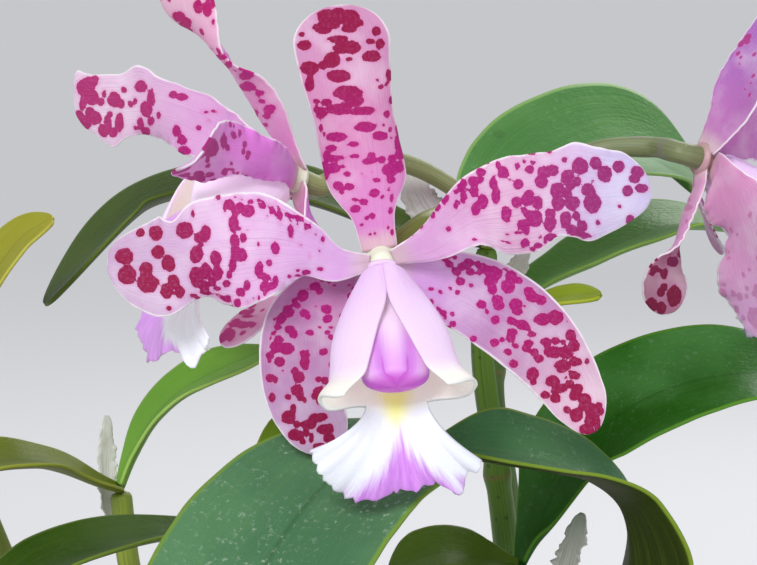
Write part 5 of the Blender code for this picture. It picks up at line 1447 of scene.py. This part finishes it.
# How strongly a blade's spots show through on its back, where that is more than a little
SHOWN_BEHIND = {"right_bloom_dorsal_sepal": 0.8, "left_bloom_right_petal": 0.85}
BLADES = {"front_bloom": FRONT_TEPALS, "left_bloom": LEFT_TEPALS, "right_bloom": RIGHT_TEPALS}
for bloom_name, tepals in BLADES.items():
    centre = Vector(BLOOM_PLACES[bloom_name][0])
    front = front_of(bloom_name)
    for part, shape in tepals.items():
        name = bloom_name + "_" + part
        line = [seen(*p) for p in shape["spine"]]
        outward = (line[0] - line[0].dot(front) * front).normalized()
        rise = PETAL_LEVEL if "petal" in part else SEPAL_LEVEL
        line = [outward * TEPAL_FOOT + front * rise] + line
        blade = {
            **shape,
            "spine": [centre + p for p in line],
            "face": [front] + [seen(*f) for f in shape["face"]],
            "frill": 0.9 if "petal" in part else 0.35,
            "ragged": 0.05 if "petal" in part else 0.02,
            "seed": len(name) * 1.7,
        }
        surface = blade_point(blade)
        tepal = shaped_grid(name + "_blade", 48, 120, surface)
        mark_spots(tepal, name, surface, len(name) + len(part))
        tones = [tone(*chart) for chart in TEPAL_TONES.get(name, TEPAL_TONES.get(bloom_name))]
        back = [tone(*chart) for chart in BACK_TONES.get(name, BACK_TONES[bloom_name])]
        thickened(
            tepal, PETAL_THICKNESS, 0.35,
            petal_finish(name + "_face", *tones, 1.0),
            petal_finish(name + "_back", *back, *tones[3:], SHOWN_BEHIND.get(name, 0.35)),
        )
        stands_for(tepal, "petal", name)

# The lips
# The third petal of each bloom. Its sides roll up into a tube round the column and flare at the mouth. Its
# middle lobe opens below them in a white fan with a yellow throat, purple veins and a toothed, frilled edge.

LIP_THICKNESS = 0.7
LIP_AXIS = Vector((0.09, -0.75, 0.66)).normalized()
LIP_LENGTH = 23.1
LIP_SET_OFF = 3.0
FAN_LENGTH = 15.4
FAN_SPREAD = math.radians(46)
FAN_LEAN = math.radians(7)
FAN_TEETH = 1.3
FAN_PLEATS = 0.22
# How many teeth of each size the fan has in its half, and how high they are beside the largest
TOOTH_KINDS = ((4.5, 1), (11, 0.8), (23, 0.6))
# The fan's larger notches: their depth, their place from side to side and their width
FAN_NOTCHES = ((2.0, 0.3, 0.26), (-1.0, -0.45, 0.3), (-3.6, 0.58, 0.08))
TUBE_UP = LIP_AXIS.cross(Vector((1, 0, 0)))
TUBE_SIDE = TUBE_UP.cross(LIP_AXIS)
TUBE_WIDTH = evenly([3.7, 6.2, 8.4, 10.0, 10.7, 10.9])
TUBE_DEPTH = evenly([3.3, 4.7, 5.9, 6.6, 6.8, 6.6])
# The tube's sides: how far round they reach in degrees, how far they flare and roll out at the mouth, how far
# their lobes and the lobes' edges stand forward, and how much wider they are at their foot
LEFT_SIDE = (evenly([182, 181.5, 176.5, 167, 158, 150]), 1.4, 2.4, (2.4, 2.6), -0.03)
RIGHT_SIDE = (evenly([182, 181.5, 178.5, 169.5, 160, 160]), 3.6, 1.0, (2.0, 2.8), 0.09)
FLARE_FROM = 0.72
# The tube's share of the lip's length, and the fan's neck's share of its columns and of the tube's turn
TUBE_SHARE = 0.6
NECK_COLUMNS = 0.4
NECK_TURN = 0.19


def tube_point(s, v, crown):
    """A point of the lip's tube: s runs from its base to its mouth, v from edge to edge round the column.

    crown is how much higher its upper side is than its lower side is deep. Such a tube droops at its mouth,
    and its left side opens less.
    """
    wrap, flared, rolled_out, (reach, edge), widened = LEFT_SIDE if v < 0 else RIGHT_SIDE
    turn = math.radians(along(wrap, s)) * v
    narrow = 1 + 8 * min(0.0, s)
    narrow += widened * step(abs(v), 0.75, 1.0) * step(s, 0.45, 0.25)
    flare = max(0.0, (s - FLARE_FROM) / (1 - FLARE_FROM)) ** 2 * flared
    flare *= min(1.0, max(0.0, (abs(v) - 0.22) / 0.4))
    lobe = reach * step(abs(v), 0.2, 0.5) + edge * step(abs(v), 0.65, 1.0)
    lobe *= 1 - 0.9 * crown
    rim = step(s, 0.88, 1.0) * step(abs(v), 0.22, 0.5)
    wave = 0.5 * rim * math.sin(9 * v + 1)
    centre = LIP_AXIS * (LIP_SET_OFF + s * LIP_LENGTH + lobe * max(0.0, s) ** 4)
    depth = along(TUBE_DEPTH, s) * narrow + wave + 0.7 * rim
    arch = math.sin(math.pi * min(1.0, max(0.0, s))) - 0.95 * max(0.0, s) ** 3
    depth *= 1 + crown * arch * max(0.0, -math.cos(turn))
    spread = (flare + rolled_out * rim) * v
    if v < 0:
        spread *= 1 - crown
    aside = along(TUBE_WIDTH, s) * narrow * math.sin(turn) + spread
    return centre - TUBE_UP * depth * math.cos(turn) + TUBE_SIDE * aside


def lip_point(x, t, crown):
    """A point of the whole lip, x from -1 to 1 across it and t from 0 at its base to 1 at the fan's edge."""
    inner = min(abs(x), NECK_COLUMNS) / NECK_COLUMNS * NECK_TURN
    outer = max(0.0, abs(x) - NECK_COLUMNS) / (1 - NECK_COLUMNS) * (1 - NECK_TURN)
    v = math.copysign(inner + outer, x)
    if t <= TUBE_SHARE + 1e-6:
        return tube_point(min(1.0, t / TUBE_SHARE * 1.04 - 0.04), v, crown)
    r = (t - TUBE_SHARE) / (1 - TUBE_SHARE)
    c = x / NECK_COLUMNS
    uneven = [noise.noise(Vector((c * count, count, 0))) * height for count, height in TOOTH_KINDS]
    notch = sum(depth * math.exp(-((c - place) / width) ** 2) for depth, place, width in FAN_NOTCHES)
    reach = FAN_LENGTH + 5.2 * abs(c) - 7.3 * c * c + r * r * (FAN_TEETH * sum(uneven) - notch)
    reach -= 1.3 * step(-c, 0.55, 1.0) * r
    spread = FAN_SPREAD * c - FAN_LEAN * c * c
    out = math.sin(spread) * reach * r ** 1.5
    down = math.cos(spread) * reach * r ** 0.9
    frill = 1.1 * r * r * math.sin(5.3 * c + 0.8) + 0.6 * r ** 4 * math.sin(15 * c)
    frill += FAN_PLEATS * r * math.sin(31 * c + 1.5 * math.sin(7 * c)) + 0.9 * r ** 4 * uneven[1]
    bulge = 3.2 * math.sin(math.pi * r * 0.75) - 1.5 * r * c * c
    return tube_point(1.0, v, crown) + Vector((out + 0.8 * r, -down * 0.96, bulge + frill))


def lip_kept(x, t):
    return t < TUBE_SHARE or abs(x) < NECK_COLUMNS


def lip_finish(name, outside, flush_at, flush_width, painted_glow):
    """The lip's skin: the tube's lilac outer side, or its white inner side.

    flush_at is where across the fan its purple lies, flush_width how fast that widens towards the edge, and
    glow the strength of a faint cream emission, painted light that brightens the lip where it lies in shade.
    """
    made, tree, shader = new_finish(name, 0.5)
    shader.inputs["Subsurface Weight"].default_value = 0.15
    shader.inputs["Subsurface Radius"].default_value = (0.0014, 0.001, 0.0012)
    # Painted light: a faint cream emission over the whole skin brightens the shaded tube and fan.
    shader.inputs["Emission Color"].default_value = (1.0, 0.97, 0.88, 1)
    shader.inputs["Emission Strength"].default_value = painted_glow
    where = place_of(tree)
    across, far = own_map(tree)
    side = minus(tree, times(tree, across, 2), 1)
    from_middle = maths(tree, "ABSOLUTE", side)
    cream = tone(252, 250, 236)
    white = tone(226, 230, 242)
    lilac = graded(tree, tone(237, 202, 247), tone(242, 216, 250), far, 0.0, 0.5)
    edge = fade(tree, far, TUBE_SHARE - 0.1, TUBE_SHARE - 0.01)
    inner = graded(tree, tone(250, 236, 250), cream, far, 0.12, 0.3)
    tube = blend(tree, edge, lilac, cream) if outside else inner
    body = graded(tree, tube, white, far, TUBE_SHARE - 0.03, TUBE_SHARE + 0.04)
    ray = grain(tree, stripes(tree, side, 20, times(tree, far, 2)), 1.6, 5, 0.65)
    streak = times(tree, minus(tree, ray, 0.5), 0.5)
    middle = fade(tree, plus(tree, from_middle, streak), NECK_COLUMNS * 0.9, NECK_COLUMNS * 0.2)
    throat = plus(tree, far, times(tree, from_middle, 0.45))
    throat = times(tree, fade(tree, far, 0.38, 0.58), fade(tree, throat, 0.76, 0.58))
    body = blend(tree, times(tree, middle, throat), body, tone(248, 246, 112))
    shifted = maths(tree, "ABSOLUTE", minus(tree, side, flush_at))
    wedge = minus(tree, times(tree, minus(tree, far, 0.67), flush_width), shifted)
    wedge = plus(tree, wedge, times(tree, minus(tree, ray, 0.5), 0.22))
    blush = fade(tree, wedge, -0.04, 0.1)
    purple = graded(tree, tone(208, 116, 232), tone(174, 62, 206), ray, 0.3, 0.7)
    body = blend(tree, times(tree, blush, 0.96), body, purple)
    colour_from(tree, shader, body)
    relief = plus(tree, ray, times(tree, grain(tree, where, 1800, 2), 0.5))
    bumps(tree, shader, relief, 0.0003, 0.5)
    return made


# Painted light: the insides and the left bloom's lip get the strongest emission, where they lie deepest in
# shade.
lip_outside = lip_finish("lip_outside", True, 0.03, 0.76, 0.03)
lip_inside = lip_finish("lip_inside", False, 0.03, 0.76, 0.13)
left_lip_outside = lip_finish("left_lip_outside", True, -0.24, 1.4, 0.2)
left_lip_inside = lip_finish("left_lip_inside", False, -0.24, 1.4, 0.2)

# How far a bloom's lip and column are raised towards its front, in degrees, and how much higher its tube is
LIP_LIFT = {"left_bloom": 4, "right_bloom": 25}
LIP_CROWN = {"left_bloom": 0.8}


def bloom_turn(bloom_name):
    """Turns a bloom that looks at the viewer to the way this one looks."""
    front = front_of(bloom_name)
    up = (Vector((0, 0, 1)) - front.z * front).normalized()
    lift = Matrix.Rotation(math.radians(-LIP_LIFT.get(bloom_name, 0)), 3, "X")
    return Matrix((up.cross(front), up, front)).transposed() @ lift


for bloom_name, (centre, _) in BLOOM_PLACES.items():
    place = bloom_turn(bloom_name)

    def placed(x, t):
        return Vector(centre) + place @ lip_point(x, t, LIP_CROWN.get(bloom_name, 0.0))

    lip = shaped_grid(bloom_name + "_lip_sheet", 160, 110, placed, lip_kept)
    skins = (left_lip_outside, left_lip_inside) if bloom_name == "left_bloom" else (lip_outside, lip_inside)
    thickened(lip, LIP_THICKNESS, 0.6, *skins)
    stands_for(lip, "lip", bloom_name + "_lip")

# The columns
# The bloom's stamen and stigma are grown into one waxy rod, pale lilac along its ridge and purple at its
# winged end. It grows out of the small pale round that carries all the rest of the bloom.

COLUMN_LENGTH = 28.2
COLUMN_FLATTEN = 0.62
COLUMN_HALF_WIDTH = evenly([2.5, 2.7, 3.1, 3.9, 5.4, 6.0, 5.4])
COLUMN_GROOVE = 0.12
COLUMN_RISE = 2.6
COLUMN_STEPS = 7
# The receptacle's girth: how far before the bloom's centre, and the radius there
RECEPTACLE_STAGES = [(-RECEPTACLE_DEPTH, 2.4), (-2.4, 3.2), (-1.9, 2.7), (-1.0, 2.3), (0.3, 1.7), (0.8, 0.9)]


def column_finish():
    made, tree, shader = new_finish("column_wax", 0.5)
    shader.inputs["Subsurface Weight"].default_value = 0.2
    shader.inputs["Subsurface Radius"].default_value = (0.002, 0.0012, 0.002)
    around, far = own_map(tree)
    side = from_middle_of(tree, around)
    from_ridge = maths(tree, "ABSOLUTE", minus(tree, side, 0.5))
    lines = stripes(tree, around, 40, far)
    streak = grain(tree, lines, 1.6, 4, 0.6)
    body = graded(tree, tone(244, 216, 249), tone(246, 220, 250), far, 0.1, 0.6)
    tongue = minus(tree, from_ridge, fade(tree, far, 0.998, 0.95, 0.03, 0.13))
    tongue = plus(tree, tongue, times(tree, minus(tree, streak, 0.5), 0.08))
    body = graded(tree, body, tone(230, 152, 240), far, 0.62, 0.95, 0.85)
    wing = times(tree, fade(tree, tongue, -0.13, 0.08), fade(tree, far, 0.45, 0.8, 0, 0.9))
    wing_tone = graded(tree, tone(204, 112, 220), tone(226, 176, 234), tongue, 0.02, 0.16)
    wing_tone = graded(tree, wing_tone, tone(192, 92, 208), from_ridge, 0.3, 0.46)
    body = blend(tree, wing, body, wing_tone)
    outline = fade(tree, maths(tree, "ABSOLUTE", tongue), 0.03, 0.0)
    seam = times(tree, outline, fade(tree, far, 0.8, 0.9, 0, 0.6))
    body = blend(tree, seam, body, tone(186, 60, 190))
    body = graded(tree, body, tone(216, 84, 216), far, 0.94, 0.99, 0.8)
    colour_from(tree, shader, body)
    return made


def receptacle_finish(name, first, second):
    made, tree, shader = new_finish(name, 0.45)
    where = place_of(tree)
    body = graded(tree, first, second, grain(tree, where, 220, 3), 0.35, 0.7)
    colour_from(tree, shader, body)
    bumps(tree, shader, grain(tree, where, 900, 3), 0.0002, 0.5)
    return made


column_wax = column_finish()
receptacle_green = receptacle_finish("receptacle_green", tone(228, 240, 206), tone(240, 238, 220))
receptacle_pink = receptacle_finish("receptacle_pink", tone(204, 150, 170), tone(178, 150, 140))
for bloom_name, (centre, _) in BLOOM_PLACES.items():
    place = bloom_turn(bloom_name)
    centre = Vector(centre)
    front = front_of(bloom_name)
    rod_line = []
    for k in range(COLUMN_STEPS + 1):
        rise = Vector((0, 0.66, 0.75)) * (COLUMN_RISE * step(k / COLUMN_STEPS, 0.1, 0.7))
        rod_line.append(centre + place @ (LIP_AXIS * (COLUMN_LENGTH * k / COLUMN_STEPS) + rise))

    def rod_radius(t, turn):
        from_groove = (abs(turn - math.pi / 2) - math.radians(29)) / math.radians(10)
        groove = COLUMN_GROOVE * math.exp(-from_groove * from_groove) * step(t, 0.45, 0.85)
        return along(COLUMN_HALF_WIDTH, t) * tip_rounding(t, 0.93) * (1 - groove)

    wide_way = place @ Vector((1, 0, 0))
    rod = rolled(bloom_name + "_column_rod", rod_line, rod_radius, 48, 60, COLUMN_FLATTEN, wide_way)
    rod.data.materials.append(column_wax)
    stands_for(rod, "column", bloom_name + "_column")
    first, last = RECEPTACLE_STAGES[0][0], RECEPTACLE_STAGES[-1][0]
    girth = [((z - first) / (last - first), radius) for z, radius in RECEPTACLE_STAGES]
    knob_line = [centre + front * z for z, _ in RECEPTACLE_STAGES]
    knob = rolled(bloom_name + "_receptacle", knob_line, lambda t, _: along(girth, t), 32, 24)
    knob.data.materials.append(receptacle_pink if bloom_name == "right_bloom" else receptacle_green)
    stands_for(knob, "column", bloom_name + "_column")

# The floor, the light and the camera
# A plain pale floor, soft studio lamps, and the camera where the photo was taken from.


def soft_lamp(name, place, target, size, power, colour):
    bpy.ops.object.light_add(type="AREA", location=place)
    lamp = bpy.context.object
    lamp.name = name
    lamp.data.shape = "DISK"
    lamp.data.size = size
    lamp.data.energy = power
    lamp.data.color = colour
    lamp.rotation_euler = (Vector(target) - Vector(place)).to_track_quat("-Z", "Y").to_euler()


bpy.ops.mesh.primitive_plane_add(size=120, location=(0, 0, 0))
floor = bpy.context.object
floor.name = "floor"
floor_paint, _, floor_shader = new_finish("floor_paint", 0.9)
floor_shader.inputs["Base Color"].default_value = tone(218, 218, 220)
floor.data.materials.append(floor_paint)

bpy.ops.object.light_add(type="SUN", location=(0, 0, 2))
key = bpy.context.object
key.name = "key_lamp"
key.data.energy = 1.9
key.data.angle = math.radians(24)
key.rotation_euler = Vector((0.34, 0.9, -0.66)).to_track_quat("-Z", "Y").to_euler()
soft_lamp("fill_lamp", (1.1, -1.1, 0.5), (0, 0, 0.2), 1.0, 4, (0.96, 0.98, 1.0))
soft_lamp("rim_lamp", (0.5, 1.1, 1.1), (0, 0, 0.2), 0.8, 7, (1.0, 1.0, 1.0))
sky = bpy.data.worlds.new("studio")
bpy.context.scene.world = sky
sky.use_nodes = True
sky.node_tree.nodes["Background"].inputs["Color"].default_value = (0.92, 0.94, 0.97, 1)
sky.node_tree.nodes["Background"].inputs["Strength"].default_value = 0.5
bpy.context.scene.view_settings.view_transform = "Standard"

bpy.ops.object.camera_add(location=PHOTO_EYE * MM, rotation=(math.pi / 2 - PHOTO_PITCH, 0, 0))
camera = bpy.context.object
camera.name = "photo_camera"
camera.data.lens = PHOTO_LENS
camera.data.sensor_width = PHOTO_SENSOR
camera.data.clip_start = 0.02
camera.data.clip_end = 200
bpy.context.scene.camera = camera
